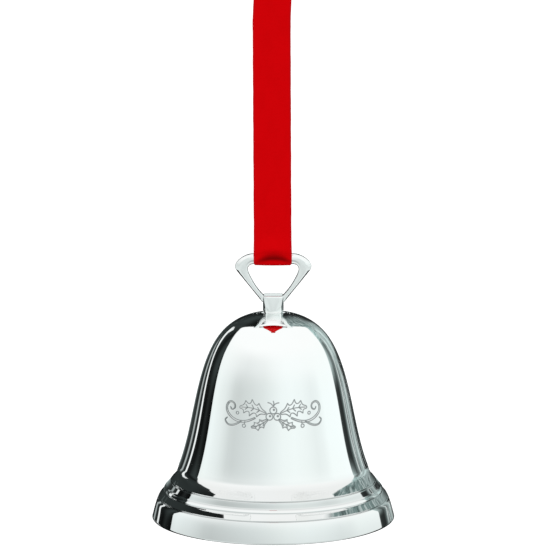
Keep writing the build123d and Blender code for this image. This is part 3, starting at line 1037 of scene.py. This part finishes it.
def build_handle_loop():
    outer_x, outer_drop, inner_x, inner_drop, half_depths, exponents = LOOP_STATIONS.T
    outlines = np.stack([outer_x, BAR_Z + BAR_R - outer_drop,
                         inner_x, BAR_Z - BAR_R - inner_drop], 1)
    walked = arc_lengths(outlines)
    at = np.linspace(0, walked[-1], LOOP_SAMPLES)
    samples = list(zip(spline_through(outlines, LOOP_SAMPLES),
                       np.interp(at, walked, half_depths), np.interp(at, walked, exponents)))
    angles = full_turn(LOOP_SIDES)
    verts, rings = [], []
    # up the left leg, across the bar and down the right leg
    ordered = [(-1, sample) for sample in samples[:0:-1]] + [(1, sample) for sample in samples]
    for sign, ((ox, oz, ix, iz), half_depth, exponent) in ordered:
        outer, inner = np.array([sign * ox, 0, oz]), np.array([sign * ix, 0, iz])
        x = signed_power(np.cos(angles), 2 / exponent)
        y = signed_power(np.sin(angles), 2 / exponent)
        over = np.where(x > 0, np.maximum((x + np.abs(y) - LOOP_EDGE_LIMIT) / 2, 0), 0)
        x, y = x - over, y - np.copysign(over, y)
        start = len(verts)
        verts.extend((outer + inner) / 2 + np.outer(x, (outer - inner) / 2)
                     + np.outer(y, [0, half_depth, 0]))
        rings.append(list(range(start, len(verts))))
    faces = []
    for low, high in zip(rings, rings[1:]):
        for j in range(LOOP_SIDES):
            k = (j + 1) % LOOP_SIDES
            faces.append((low[j], high[j], high[k], low[k]))
    first, last = rings[0], rings[-1]
    middle = len(verts)
    verts += [np.mean([verts[i] for i in ring], axis=0) for ring in (first, last)]
    faces += bridge(first, [middle]) + bridge([middle + 1], last)
    make_object("handle_loop_cast", verts, faces, [MAT_CAST], BODY_BELL, "handle_loop",
                "silver_plate")


def build_handle_post():
    bottom, top, radius = post_lo[2], post_hi[2], post_hi[0]
    shoulder_r, shoulder_z = 0.30, top - 0.62
    profile = round_corners(
        [(0.0, bottom + 0.9), (1.50, bottom + 0.9), (1.50, bottom), (radius - 0.24, bottom),
         (radius - 0.25, bottom + 0.20), (radius - 0.10, bottom + 0.42),
         (radius, bottom + 0.75), (radius, shoulder_z)],
        [0.05, 0.05, 0.06, 0.12, 0.15, 0.3])[:-1]
    for a in np.linspace(0, math.pi / 2, 10):
        profile.append((radius - shoulder_r + shoulder_r * math.cos(a),
                        shoulder_z + 0.60 * math.sin(a)))
    for q in np.linspace(0.12, 1, 8):   # slightly domed top
        profile.append(((radius - shoulder_r) * (1 - q), top - 0.02 + 0.02 * (1 - (1 - q) ** 2)))

    def squared(r, z, angle):
        """Round at the crown, with flattened faces higher up where the legs run in."""
        power = 2.0 + 4.0 * ease((z - bottom - 0.7) / 1.6)
        return r / (abs(math.sin(angle)) ** power + abs(math.cos(angle)) ** power) ** (1 / power)

    make_object("handle_post_turned", *lathe(profile, 96, radius_fn=squared), [MAT_CAST],
                BODY_BELL, "handle_post", "silver_plate")


# ---------------------------------------------------------------------------
# fixings under the crown
# ---------------------------------------------------------------------------
def build_eye_bolt():
    wire = 0.60
    half_width = (bolt_hi[0] - bolt_lo[0]) / 2
    eye_z, eye_r = bolt_lo[2] + half_width, half_width - wire
    top, low = bolt_hi[2], eye_z + eye_r
    pitch, depth, major = 0.5, 0.26, 1.47       # of the thread
    rows_per_pitch = 10
    thread_z = np.arange(low + 0.55, top - 0.35, pitch / rows_per_pitch)

    def threaded(r, z, angle):
        if r != major:
            return r
        phase = ((z - pitch * angle / (2 * math.pi)) / pitch) % 1.0
        triangle = 1 - abs(2 * phase - 1)
        fade = min(1.0, (z - thread_z[0]) / 0.4, (thread_z[-1] - z) / 0.3)
        return r - depth * clamp((triangle - 0.12) / 0.76) * fade

    neck = [(0.0, low - 0.05), (0.55, low - 0.05), (0.95, low + 0.12), (1.25, low + 0.38)]
    tip = [(major - 0.15, top - 0.2), (major - 0.42, top - 0.02), (0.6, top), (0.0, top)]
    shank = lathe(neck + [(major, z) for z in thread_z] + tip, 40, radius_fn=threaded)
    a = full_turn(72)
    path = np.stack([eye_r * np.sin(a), np.zeros_like(a), eye_z + eye_r * np.cos(a)], 1)
    make_object("eye_bolt_threaded", *merge(shank, tube(path, wire, 22, closed=True)),
                [MAT_FIX], BODY_BELL, "eye_bolt", "fixing_steel")


def build_washer():
    bottom, top, inner, outer = washer_lo[2], washer_hi[2], 1.62, washer_hi[0]
    seam = ((inner + outer) / 2, bottom)
    # the bottom outer edge is rolled over further than the rest
    profile = round_corners(
        [seam, (outer, bottom), (outer, top), (inner, top), (inner, bottom), seam],
        [0.20, 0.06, 0.05, 0.12])[:-1]
    make_object("crown_washer_stamped", *lathe(profile, 96, closed=True), [MAT_FIX], BODY_BELL,
                "crown_washer", "fixing_steel")


def build_nut():
    """Hex nut with both faces chamfered."""
    bottom, top = nut_lo[2], nut_hi[2]
    bore, bore_mouth, countersink = 1.50, 1.74, 0.25
    flat = min(nut_hi[0], nut_hi[1])            # middle to a flat
    face_r = flat * 0.935                       # where the chamfer starts
    columns = 96

    def section(angle):
        hexagon = flat / math.cos((angle + math.pi / 2) % (math.pi / 3) - math.pi / 6)
        drop = max(0.0, (hexagon - face_r) * 0.55)
        return [(bore, bottom + countersink), (bore_mouth, bottom), (face_r, bottom),
                (hexagon, bottom + drop), (hexagon, top - drop), (face_r, top),
                (bore_mouth, top), (bore, top - countersink)]

    angles = [2 * math.pi * j / columns for j in range(columns)]
    levels = list(zip(*(section(angle) for angle in angles)))
    verts = [around(r, angle, z) for level in levels for angle, (r, z) in zip(angles, level)]
    rings = [list(range(i * columns, (i + 1) * columns)) for i in range(len(levels))]
    nut = make_object("hex_nut_chamfered", verts, bridge_all(rings, closed=True), [MAT_FIX],
                      BODY_BELL, "hex_nut", "fixing_steel")
    bevel = nut.modifiers.new("edges", "BEVEL")
    bevel.width = 0.05 * MM
    bevel.segments = 2
    bevel.limit_method = "ANGLE"
    bevel.angle_limit = math.radians(28)
    bevel.harden_normals = True


# ---------------------------------------------------------------------------
# clapper
# ---------------------------------------------------------------------------
def build_link():
    """Wire ring in the YZ plane, closed with a butt joint."""
    middle, wire = (link_lo[2] + link_hi[2]) / 2, link_hi[0]
    ring = (link_hi[2] - link_lo[2]) / 2 - wire
    a = np.linspace(math.radians(38), math.radians(38 + 357.5), 90)
    path = np.stack([np.zeros_like(a), ring * np.sin(a), middle + ring * np.cos(a)], 1)
    make_object("clapper_link_ring", *tube(path, wire, 20, start_side=(1, 0, 0)), [MAT_CLAPPER],
                BODY_LINK, "clapper_link", "clapper_plate")


def build_rod():
    """One wire, its top bent round into a loop, with a peened head at its foot."""
    wire, shank_r = 0.62, 0.75
    ring = rod_hi[0] - wire
    loop_z = rod_hi[2] - wire - ring
    foot = rod_lo[2]
    shank = [(0, 0, z) for z in np.linspace(foot + 0.5, loop_z - ring - 1.2, 40)]
    bend = [(0.02, 0, loop_z - ring - 0.75), (0.12, 0, loop_z - ring - 0.32)]
    hoop = [(ring * math.sin(a), 0, loop_z + ring * math.cos(a))
            for a in np.linspace(math.radians(171), math.radians(171 - 344), 80)]
    path = spline_through(shank[::6] + bend + hoop[::4] + [hoop[-1]], 190)
    # the shank thins to the loop's wire just below the loop
    radii = np.interp(np.linspace(0, 1, len(path)), [0.60, 0.72], [shank_r, wire])
    # (radius, height above the foot)
    head = [(0.0, 0.0), (0.45, 0.03), (0.85, 0.13), (1.15, 0.30), (1.32, 0.48), (1.35, 0.60),
            (1.35, 0.80), (1.30, 0.85), (0.70, 0.85), (0.0, 0.85)]
    head = lathe([(r, foot + z) for r, z in head], 48)
    make_object("clapper_rod_bent", *merge(tube(path, radii, 20), head), [MAT_CLAPPER],
                BODY_CLAPPER, "clapper_rod", "clapper_plate")


def build_ball():
    """Turned ball with small flats and a countersink round the rod."""
    bottom, top, radius = ball_lo[2], ball_hi[2], ball_hi[0]
    flat_r, mouth_r, bore_r, countersink = 1.70, 1.0, 0.78, 0.25
    centre = top - math.sqrt(radius**2 - flat_r**2)
    flat_angle = math.asin(flat_r / radius)
    sphere = []
    for a in np.linspace(math.pi - flat_angle, flat_angle, 64):
        scale = 1.0
        for line in (math.pi / 2 - 0.055, math.pi / 2 + 0.055):     # fine lines at the waist
            scale -= 0.009 * math.exp(-(((a - line) / 0.011) ** 2))
        sphere.append((radius * math.sin(a) * scale, centre + radius * math.cos(a) * scale))
    low = [(bore_r, sphere[0][1] + countersink), (mouth_r, bottom), (flat_r - 0.10, bottom)]
    high = [(flat_r - 0.10, top), (mouth_r, top), (bore_r, top - countersink)]
    make_object("clapper_ball_turned", *lathe(low + sphere + high, 96, closed=True),
                [MAT_CLAPPER], BODY_CLAPPER, "clapper_ball", "clapper_plate")


# ---------------------------------------------------------------------------
# ribbon
# ---------------------------------------------------------------------------
HALF_THICK = 0.125
HALF_WIDE = 4.75
LAYER = 0.28                     # front and back layers stand this far from the middle one
TACK_Z = 137.0                   # middle of the straight run that is sewn
FRONT_END_Z = 142.0              # raw end of the front layer
NECK_Z = 142.6                   # centre height of the bend from middle layer to eye
BEND_R, NECK_R = 60.0, 6.0       # bends below and above the sewn run
FOLD_R = BAR_R + 0.03 + HALF_THICK
EYE_R = 5.0 + HALF_THICK         # top eye
RIBBON_ROWS = 520


def ribbon_path():
    """Middle of the strip in (y, z): front raw end, round the bar, round the eye, hidden end."""
    bend_y, bend_rise = LAYER + BEND_R, TACK_Z - BAR_Z
    lean = (math.atan2(bend_rise, bend_y)
            - math.acos((FOLD_R + BEND_R) / math.hypot(bend_y, bend_rise)))
    reach = EYE_R + NECK_R
    eye_z = NECK_Z + math.sqrt(reach**2 - NECK_R**2)
    left = math.atan2(eye_z - NECK_Z, NECK_R)
    drop = math.sqrt(reach**2 - (NECK_R + LAYER) ** 2)
    right = math.atan2(drop, NECK_R + LAYER)
    points = [(-LAYER, FRONT_END_Z)]

    def on_circle(y, z, radius, angle):
        return (y + radius * math.cos(angle), z + radius * math.sin(angle))

    def arc(y, z, radius, start, end, count):
        points.extend(on_circle(y, z, radius, q) for q in np.linspace(start, end, count))

    def line_to(end, count):
        y, z = points[-1]
        points.extend((y + (end[0] - y) * w, z + (end[1] - z) * w)
                      for w in np.linspace(0, 1, count))

    line_to((-LAYER, TACK_Z), 14)
    arc(-bend_y, TACK_Z, BEND_R, 0, -lean, 6)
    line_to(on_circle(0, BAR_Z, FOLD_R, math.pi - lean), 90)
    arc(0, BAR_Z, FOLD_R, math.pi - lean, 2 * math.pi + lean, 56)
    line_to(on_circle(bend_y, TACK_Z, BEND_R, math.pi + lean), 90)
    arc(bend_y, TACK_Z, BEND_R, math.pi + lean, math.pi, 6)
    line_to((LAYER, eye_z - drop), 16)
    arc(LAYER + NECK_R, eye_z - drop, NECK_R, math.pi, math.pi - right, 20)
    arc(0, eye_z, EYE_R, -right, math.pi + left, 84)
    arc(-NECK_R, NECK_Z, NECK_R, left, 0, 20)
    line_to((0.0, TACK_Z + 0.6), 18)
    spaced = [points[0]]
    for point in points[1:]:
        if math.dist(point, spaced[-1]) > 0.02:
            spaced.append(point)
    return np.array(spaced)


def ribbon_section():
    """Points round the strip: place across (-1 to 1), bulge past the edge, offset."""
    even = np.linspace(-1, 1, 31)
    across = np.sign(even) * (1 - (1 - np.abs(even)) ** 1.25)
    # a firm selvedge, a little thicker just inside each edge
    face = HALF_THICK + 0.022 * np.exp(-(((np.abs(across) - 0.975) / 0.018) ** 2))
    nose = math.pi * np.array([1, 2]) / 3
    bulge = HALF_THICK * 0.55 * np.sin(nose)
    edge = HALF_THICK * np.cos(nose)
    flat = np.zeros_like(across)
    return (np.r_[across, 1, 1, across[::-1], -1, -1], np.r_[flat, bulge, flat, bulge],
            np.r_[-face, -edge, face[::-1], edge])


def front_swell(across, z):
    """Outward push and painted crease shade of the front layer close to the bar.

    The strip stands off in a soft swell above the bar and is nipped in under the swell.
    """
    middle = np.maximum(0.0, 1 - ((across - 0.10) / 1.15) ** 2)
    crest = BAR_Z + 2.7 - 1.0 * across**2
    push = 0.62 * middle * np.exp(-(((z - crest) / np.where(z < crest, 1.15, 2.3)) ** 2))
    push += 0.16 * middle * np.exp(-(((z - (BAR_Z - 1.05)) / 0.42) ** 2))
    off_centre = across - 0.06
    nip = BAR_Z + 0.26 - 0.90 * off_centre**2
    reach = np.where(z > nip, 1.20 * np.maximum(0.25, 1 - 0.80 * off_centre**2), 0.50)
    # painted shade, darkest along the nip
    dark = (0.92 * np.exp(-(((z - nip) / reach) ** 2))
            * np.maximum(0.0, 1 - np.abs(off_centre) ** 3))
    # painted shade carries on thinly under the bar
    under = BAR_Z - 1.15
    if z < under:
        dark = np.maximum(dark, 0.30 * min(1.0, (under - z) / 0.3))
    return push, dark


def build_ribbon():
    path = ribbon_path()
    walked = arc_lengths(path)
    fold = walked[np.argmin(path[:, 1])]
    # rows are closer over the fold
    rows = np.linspace(0, walked[-1], RIBBON_ROWS)
    density = 1 + 4.0 * np.exp(-(((rows - fold) / 4.5) ** 2))
    total = np.r_[0, np.cumsum(density[:-1])]
    rows = np.interp(np.linspace(0, total[-1], RIBBON_ROWS), total, rows)
    middle = np.stack([np.interp(rows, walked, path[:, k]) for k in (0, 1)], 1)
    # sideways of the run, towards the bar on the fold
    sides = quarter_turn(unit(np.gradient(middle, rows, axis=0)))
    across, bulge, section_offset = ribbon_section()

    verts, uvs, crease_painted_shade = [], [], []
    for row, (y, z), (side_y, side_z) in zip(rows, middle, sides):
        near = math.exp(-(((row - fold) / 5.0) ** 2))
        # spread slightly by the bar, a little uneven, drawn in under the bar
        half = HALF_WIDE + 0.10 * near
        half += 0.015 * math.sin(row * 0.55) + 0.012 * math.sin(row * 1.31 + 1.0)
        half -= 0.42 * clamp(BAR_Z - 0.55 - z) ** 2
        # the strip leans a touch to the left as it rises, and comes back at the sewn run
        shift = -0.13 - 0.30 * min(max((z - BAR_Z) / 66.0, 0.0), 1.25)
        if z > 128:
            shift *= max(0.0, 1 - (z - 128) / 9.0)
        front = 1.0 if row < fold else -1.0
        free = clamp((z - BAR_Z - 3.0) / 14.0) * clamp((134.0 - z) / 14.0)
        # gentle cupping and waviness of the free lengths
        offset = section_offset - (0.10 * free * (across**2 - 0.4) * front
                                   + 0.05 * free * np.sin(row * 0.21 + 2.2 * across))
        if near > 0.02:
            offset = offset - 0.055 * near * (1 - across**2)
        # painted shade only on the front layer near the bar
        dark = np.zeros_like(across)
        if front > 0 and z < BAR_Z + 9:
            push, dark = front_swell(across, z)
            offset = offset - push
        verts.extend(np.stack([across * (half + bulge) + shift, y + side_y * offset,
                               z + side_z * offset], 1))
        uvs.extend(np.stack([across * half, np.full_like(across, row)], 1))
        crease_painted_shade.extend(dark)

    size = len(across)
    rings = [list(range(i * size, (i + 1) * size)) for i in range(RIBBON_ROWS)]
    faces = bridge_all(rings) + [tuple(rings[0][::-1]), tuple(rings[-1])]
    mesh = make_object("ribbon_strip", verts, faces, [MAT_RIBBON], BODY_RIBBON, "ribbon",
                       "red_ribbon").data
    layer = mesh.uv_layers.new(name="strip")
    corners = np.zeros(len(mesh.loops), int)
    mesh.loops.foreach_get("vertex_index", corners)
    layer.data.foreach_set("uv", np.array(uvs, np.float32)[corners].ravel())
    add_point_values(mesh, "crease_painted_shade", crease_painted_shade)


def build_stitching():
    """A row of squarish thread loops through the layers of ribbon."""
    count, pitch, thread_r, margin = 9, 0.95, 0.155, 0.16
    half = stitch_hi[1] - margin
    bottom, top = stitch_lo[2] + margin, stitch_hi[2] - margin
    a = full_turn(44)
    y = half * signed_power(np.cos(a), 0.45)
    rise_z = (top - bottom) / 2 * signed_power(np.sin(a), 0.45)
    parts = []
    for q in range(count):
        x = (q - (count - 1) / 2) * pitch - 0.02 * math.sin(q * 2.3)
        tilt = 0.06 * math.sin(q * 1.7 + 0.4)
        path = np.stack([x + tilt * rise_z, y, (bottom + top) / 2 + rise_z], 1)
        parts.append(tube(path, thread_r, 12, closed=True, start_side=(1, 0, 0)))
    make_object("ribbon_bar_tack", *merge(*parts), [MAT_THREAD], BODY_RIBBON,
                "ribbon_stitching", "red_thread")


# ---------------------------------------------------------------------------
# floor
# ---------------------------------------------------------------------------
def build_floor():
    """A wide pale square below the bell, in metres, unseen by reflections and bounce light."""
    half_size, z = 6.0, -0.30
    mat, tree, shader = new_material("pale_floor")
    cloud = noise(object_mm(tree), scale=0.002, detail=2.0, roughness=0.5)
    fill(shader, {
        "Base Color": mix(cloud, (0.90, 0.90, 0.90, 1), (0.93, 0.93, 0.93, 1)),
        "Roughness": 0.9,
        "Specular IOR Level": 0.0,
    })
    corners = [(sx * half_size, sy * half_size, z)
               for sx, sy in ((-1, -1), (1, -1), (1, 1), (-1, 1))]
    mesh = bpy.data.meshes.new("floor")
    mesh.from_pydata(corners, [], [(0, 1, 2, 3)])
    mesh.materials.append(mat)
    floor = bpy.data.objects.new("floor", mesh)
    bpy.context.scene.collection.objects.link(floor)
    floor.visible_glossy = False
    floor.visible_diffuse = False


# ---------------------------------------------------------------------------
# world: a studio tent that turns with the camera. Azimuth is 0 from the subject towards
# the camera and grows to the camera's right; elevation grows upwards; both in degrees.
# Brightnesses are grey levels on the 0 to 255 sRGB scale.
# ---------------------------------------------------------------------------
# (azimuth, level) of the tent's front, near the horizon and higher
FRONT_LOW = [(-101, 242), (-95, 246), (-88, 241), (-78, 235), (-70, 226), (-62, 214), (-54, 210),
             (-45, 214), (-32, 220), (-15, 228), (0, 238), (12, 246), (28, 249), (44, 246),
             (60, 239), (70, 243), (80, 252), (112, 254)]
FRONT_MID = [(-101, 248), (-90, 248), (-75, 243), (-60, 236), (-45, 232), (-30, 236),
             (-15, 240), (0, 247), (20, 252), (60, 252), (112, 254)]
# (azimuth, level) of the dark flags on the left, at three elevations
LEFT_LOW = [(-180, 200), (-173, 160), (-167, 112), (-161, 72), (-155, 46), (-149, 42),
            (-142, 58), (-135, 44), (-129, 36), (-123, 24), (-118, 15), (-112, 40), (-108, 26),
            (-104, 16), (-101, 16)]
LEFT_HIGH = [(-180, 44), (-170, 70), (-162, 52), (-155, 48), (-150, 54), (-142, 48),
             (-134, 42), (-127, 26), (-122, 28), (-116, 50), (-110, 58), (-105, 38), (-101, 30)]
LEFT_TOP = [(-180, 12), (-166, 16), (-158, 24), (-150, 38), (-144, 62), (-136, 60), (-101, 50)]
# the same on the right
RIGHT_LOW = [(100, 60), (111, 74), (115, 48), (121, 46), (124.5, 90), (127.5, 180),
             (130.5, 98), (133, 70), (137, 160), (142.5, 182), (146.5, 128), (150, 42),
             (156, 32), (163, 44), (168, 66), (172, 108), (176, 188), (180, 248)]
RIGHT_HIGH = [(100, 200), (113, 196), (117.5, 178), (122, 126), (127.5, 98), (131.5, 186),
              (136.5, 214), (141.5, 162), (146.5, 222), (151.5, 206), (156.5, 166), (162, 182),
              (167.5, 126), (172, 76), (180, 62)]
RIGHT_TOP = [(110, 240), (120, 236), (127, 214), (132, 203), (137, 184), (142, 172),
             (146.5, 150), (152, 140), (158, 134), (164, 110), (170, 56), (180, 16)]
# (elevation, azimuth without its sign) of three slanting strips
ECHO_STRIP = [(0, 138.5), (4, 142), (8, 144.5), (12, 146.5), (17, 149), (24, 151)]
GAP_STRIP = [(0, 126), (4, 127.5), (7, 129.5), (12, 132.5), (17, 135.7), (22, 140),
             (27, 144.5), (30, 146.5), (34, 149.5)]
SLIT_STRIP = [(0, 127.5), (5, 129), (12, 131.5), (20, 133.5), (30, 137), (40, 143)]
# (azimuth, elevation) of the flags' upper edge
LEFT_EDGE = [(-180, 57.5), (-174, 58), (-168, 59), (-162, 60), (-159, 61.3), (-155, 62),
             (-149, 58.8), (-143.5, 52), (-138, 48), (-130, 46.5), (-124, 44), (-118.5, 41.5),
             (-113.5, 38), (-109.5, 34), (-106.5, 28), (-104.2, 21), (-102.4, 13), (-101.2, 5),
             (-100.6, 0.5), (-100.2, 0)]
RIGHT_EDGE = [(110.5, 0), (111, 8), (113.2, 16), (116.2, 24), (120, 32), (125, 38.5),
              (131, 42.5), (139, 44.5), (143.5, 47), (148, 54), (153, 59), (160, 60.0),
              (168, 59.0), (174, 58), (180, 57.5)]
# (part of the way from straight down to the horizon, level) of the table
TABLE = [(0.0, 244), (0.45, 238), (0.8, 228), (1.0, 222)]


def cool(level, tint=1.0):
    """A grey level as a colour, a little short of red; tint scales the cast."""
    return (linear(level * (1 - 0.022 * tint)), linear(min(255, level * (1 + 0.007 * tint))),
            linear(min(255, level * (1 + 0.005 * tint))), 1)


def azimuth_ramp(turn, levels, tint=1.0):
    return ramp(turn, [((az + 180) / 360, cool(level, tint)) for az, level in levels])


def streaks(az, el, az_scale, el_scale, offset, detail, roughness):
    return noise(combine(az * az_scale, el * el_scale, offset), detail=detail,
                 roughness=roughness)


def tent_front(turn, el):
    front = mix(rise(el, 8, 24), azimuth_ramp(turn, FRONT_LOW),
                azimuth_ramp(turn, FRONT_MID, 0.6))
    return mix(rise(el, 20, 48), front, (linear(253), linear(254), linear(254), 1))


def left_flags(turn, az, el):
    """Near black, with a slim lit gap, its echo, mottling and a small bright spot."""
    left = mix(rise(el, 5, 15), azimuth_ramp(turn, LEFT_LOW, 3.0),
               azimuth_ramp(turn, LEFT_HIGH, 4.0))
    left = mix(rise(el, 42, 54), left, azimuth_ramp(turn, LEFT_TOP, 3.0))

    grit = streaks(az, el, az_scale=0.30, el_scale=0.12, offset=0.0, detail=3.0, roughness=0.65)
    mottled = rise(grit, 0.58, 0.70) * band(az, -153, half=24, soft=5)
    left = mix(mottled * band(el, 2, half=26, soft=6), left, cool(140, 3))

    echo_az = curve(el, ECHO_STRIP, lo=0, hi=24, scale=160.0)
    echo = band(az * -1.0, echo_az, half=3.1, soft=1.2) * fall(el, 12, 21)
    left = mix(echo * 0.95, left, cool(176, 1.5))

    # the gap widens as it climbs
    gap_az = curve(el, GAP_STRIP, lo=0, hi=34, scale=160.0)
    off_gap = magnitude(az * -1.0 - gap_az) - rise(el, 14, 27) * 2.3
    gap = fall(off_gap, 1.7, 3.0) * (rise(el, -12, -4) * fall(el, 31, 33))
    left = mix(gap * 0.97, left, cool(249, 0.5))

    spot = (band(az, -145.5, half=4.2, soft=0.8)
            * band(el + az * -0.25, 69.5, half=2.6, soft=0.8))
    return mix(spot * 0.9, left, cool(246, 0.5))


def right_flags(turn, az, el):
    """Streaked grey-green, with light and dark flecks and a pale slit."""
    right = mix(rise(el, 7, 16), azimuth_ramp(turn, RIGHT_LOW, 3.0),
                azimuth_ramp(turn, RIGHT_HIGH, 3.0))
    right = mix(rise(el, 26, 40), right, azimuth_ramp(turn, RIGHT_TOP, 5.0))

    pale = streaks(az, el, az_scale=0.42, el_scale=0.075, offset=4.0, detail=4.0,
                   roughness=0.72)
    pale = rise(pale, 0.53, 0.64) * band(az, 146, half=18, soft=4)
    right = mix(pale * band(el, 16, half=17, soft=5), right, cool(236, 1.5))

    dark = streaks(az, el, az_scale=0.55, el_scale=0.06, offset=9.0, detail=4.0, roughness=0.7)
    dark = rise(dark, 0.53, 0.66) * band(az, 142, half=24, soft=4)
    right = mix(dark * band(el, 16, half=22, soft=6), right, cool(60, 5))

    # level streaks high up, both lighter and darker
    level = streaks(az, el, az_scale=0.11, el_scale=0.60, offset=2.0, detail=3.0, roughness=0.65)
    high = rise(el, 25, 34) * band(az, 146, half=22, soft=4)
    right = mix(rise(level, 0.50, 0.60) * high * 0.75, right, cool(206, 2.0))
    right = mix(rise(level, 0.46, 0.38) * high * 0.70, right, cool(82, 5))

    slit_az = curve(el, SLIT_STRIP, lo=0, hi=40, scale=160.0)
    slit = band(az, slit_az, half=1.2, soft=0.6) * (rise(el, 1, 6) * fall(el, 24, 32))
    return mix(slit * 0.55, right, cool(240, 1.0))


def flag_mask(az, el):
    """1 on the flags, under a curve that arches up and back on both sides."""
    left_top = curve(az, LEFT_EDGE, lo=-180, hi=-100, scale=90.0)
    right_top = curve(az, RIGHT_EDGE, lo=110, hi=180, scale=90.0)
    in_left = fall(az, -101.3, -99.6) * fall(el - left_top, -1.3, 1.3)
    in_right = rise(az, 109.4, 112.2) * fall(el - right_top, -2.2, 2.2)
    return maths("MAXIMUM", in_left, in_right)


def reflected_studio(az, el):
    """What the polished metal mirrors."""
    turn = to_unit(az, -180, 180)
    flags = mix(rise(az, -20, 20), left_flags(turn, az, el), right_flags(turn, az, el))
    studio = mix(flag_mask(az, el), tent_front(turn, el), flags)

    # opposite the camera: dark above the horizon, with a small pale slot between the flags
    brow = rise(magnitude(az), 160, 172) * (rise(el, 2.5, 6.0) * fall(el, 30, 40))
    studio = mix(brow * 0.88, studio, cool(22, 3))
    slot = rise(magnitude(az), 177.0, 178.0) * band(el, 19.2, half=2.6, soft=0.8)
    studio = mix(slot * 0.92, studio, cool(238))

    # below the horizon: pale table in front, the flags carry on at the sides
    table = ramp(to_unit(el, -90, 0), [(place, cool(level)) for place, level in TABLE])
    under = fall(el, -14, -8) * (1.0 - band(az, 0, half=103, soft=4))
    studio = mix(under * 0.92, studio, cool(24, 3))
    on_table = fall(el, -9, -3) * maths("MAXIMUM", band(az, 0, half=96, soft=5),
                                        fall(el, -74, -60))
    studio = mix(on_table, studio, table)

    # the dark gap under the camera
    hole = band(az, -1, half=19, soft=14) * band(el, -45, half=16, soft=12)
    return mix(hole * 0.48, studio, cool(40, 3))


def build_world():
    world = bpy.data.worlds.new("studio")
    bpy.context.scene.world = world
    world.use_nodes = True
    tree = world.node_tree
    tree.nodes.clear()
    out = tree.nodes.new("ShaderNodeOutputWorld")
    direction = add_node(tree, "ShaderNodeTexCoord", output="Generated")
    in_camera = add_node(tree, "ShaderNodeVectorTransform", {0: direction},
                         vector_type="VECTOR", convert_from="WORLD", convert_to="CAMERA")
    in_camera = add_node(tree, "ShaderNodeVectorMath", {0: in_camera}, operation="NORMALIZE")
    right, up, ahead = separate(in_camera)
    degrees = 180 / math.pi
    az = maths("ARCTAN2", right, ahead * -1.0) * degrees
    el = maths("ARCSINE", up) * degrees

    def background(colour, strength=1.0):
        return add_node(tree, "ShaderNodeBackground", {"Color": colour, "Strength": strength})

    mirrored = background(add_node(tree, "ShaderNodeVectorMath",
                                   {0: reflected_studio(az, el), "Scale": 1.055},
                                   operation="SCALE"))

    # what the cloth is lit by: bright above, dimmer below and to the camera's right
    height = rise(separate(direction)[2], -0.60, 0.35)
    sky = add_node(tree, "ShaderNodeMix", {0: height, 2: 0.62, 3: 1.34}, data_type="FLOAT")
    diffuse = background((1, 1, 1, 1), sky + right * -0.10)

    seen = background((1, 1, 1, 1), 1.02)       # the plain backdrop the camera sees

    def is_ray(kind):
        # both uses read the same light path node
        return Value(tree, light_path.outputs[kind])

    light_path = tree.nodes.new("ShaderNodeLightPath")
    lighting = add_node(tree, "ShaderNodeMixShader",
                        {0: is_ray("Is Glossy Ray"), 1: diffuse, 2: mirrored})
    surface = add_node(tree, "ShaderNodeMixShader",
                       {0: is_ray("Is Camera Ray"), 1: lighting, 2: seen})
    fill(out, {"Surface": surface})


# ---------------------------------------------------------------------------
# camera
# ---------------------------------------------------------------------------
def build_camera():
    """A long lens in front of the bell, looking slightly down (metres and degrees)."""
    pitch, yaw = math.radians(9.617), math.radians(0.031)
    cam = bpy.data.cameras.new("camera")
    cam.lens = 216.4
    cam.sensor_width = 36.0
    cam.clip_start = 0.01
    cam.clip_end = 30.0
    obj = bpy.data.objects.new("camera", cam)
    bpy.context.scene.collection.objects.link(obj)
    obj.location = (0.0, -0.8320, 0.2040)
    obj.rotation_euler = (math.radians(90) - pitch, 0.0, -yaw)
    bpy.context.scene.camera = obj


build_shell()
build_handle_loop()
build_handle_post()
build_eye_bolt()
build_washer()
build_nut()
build_link()
build_rod()
build_ball()
build_ribbon()
build_stitching()
build_floor()
build_world()
build_camera()
bpy.context.scene.view_settings.view_transform = "Standard"
bpy.context.scene.view_settings.look = "None"
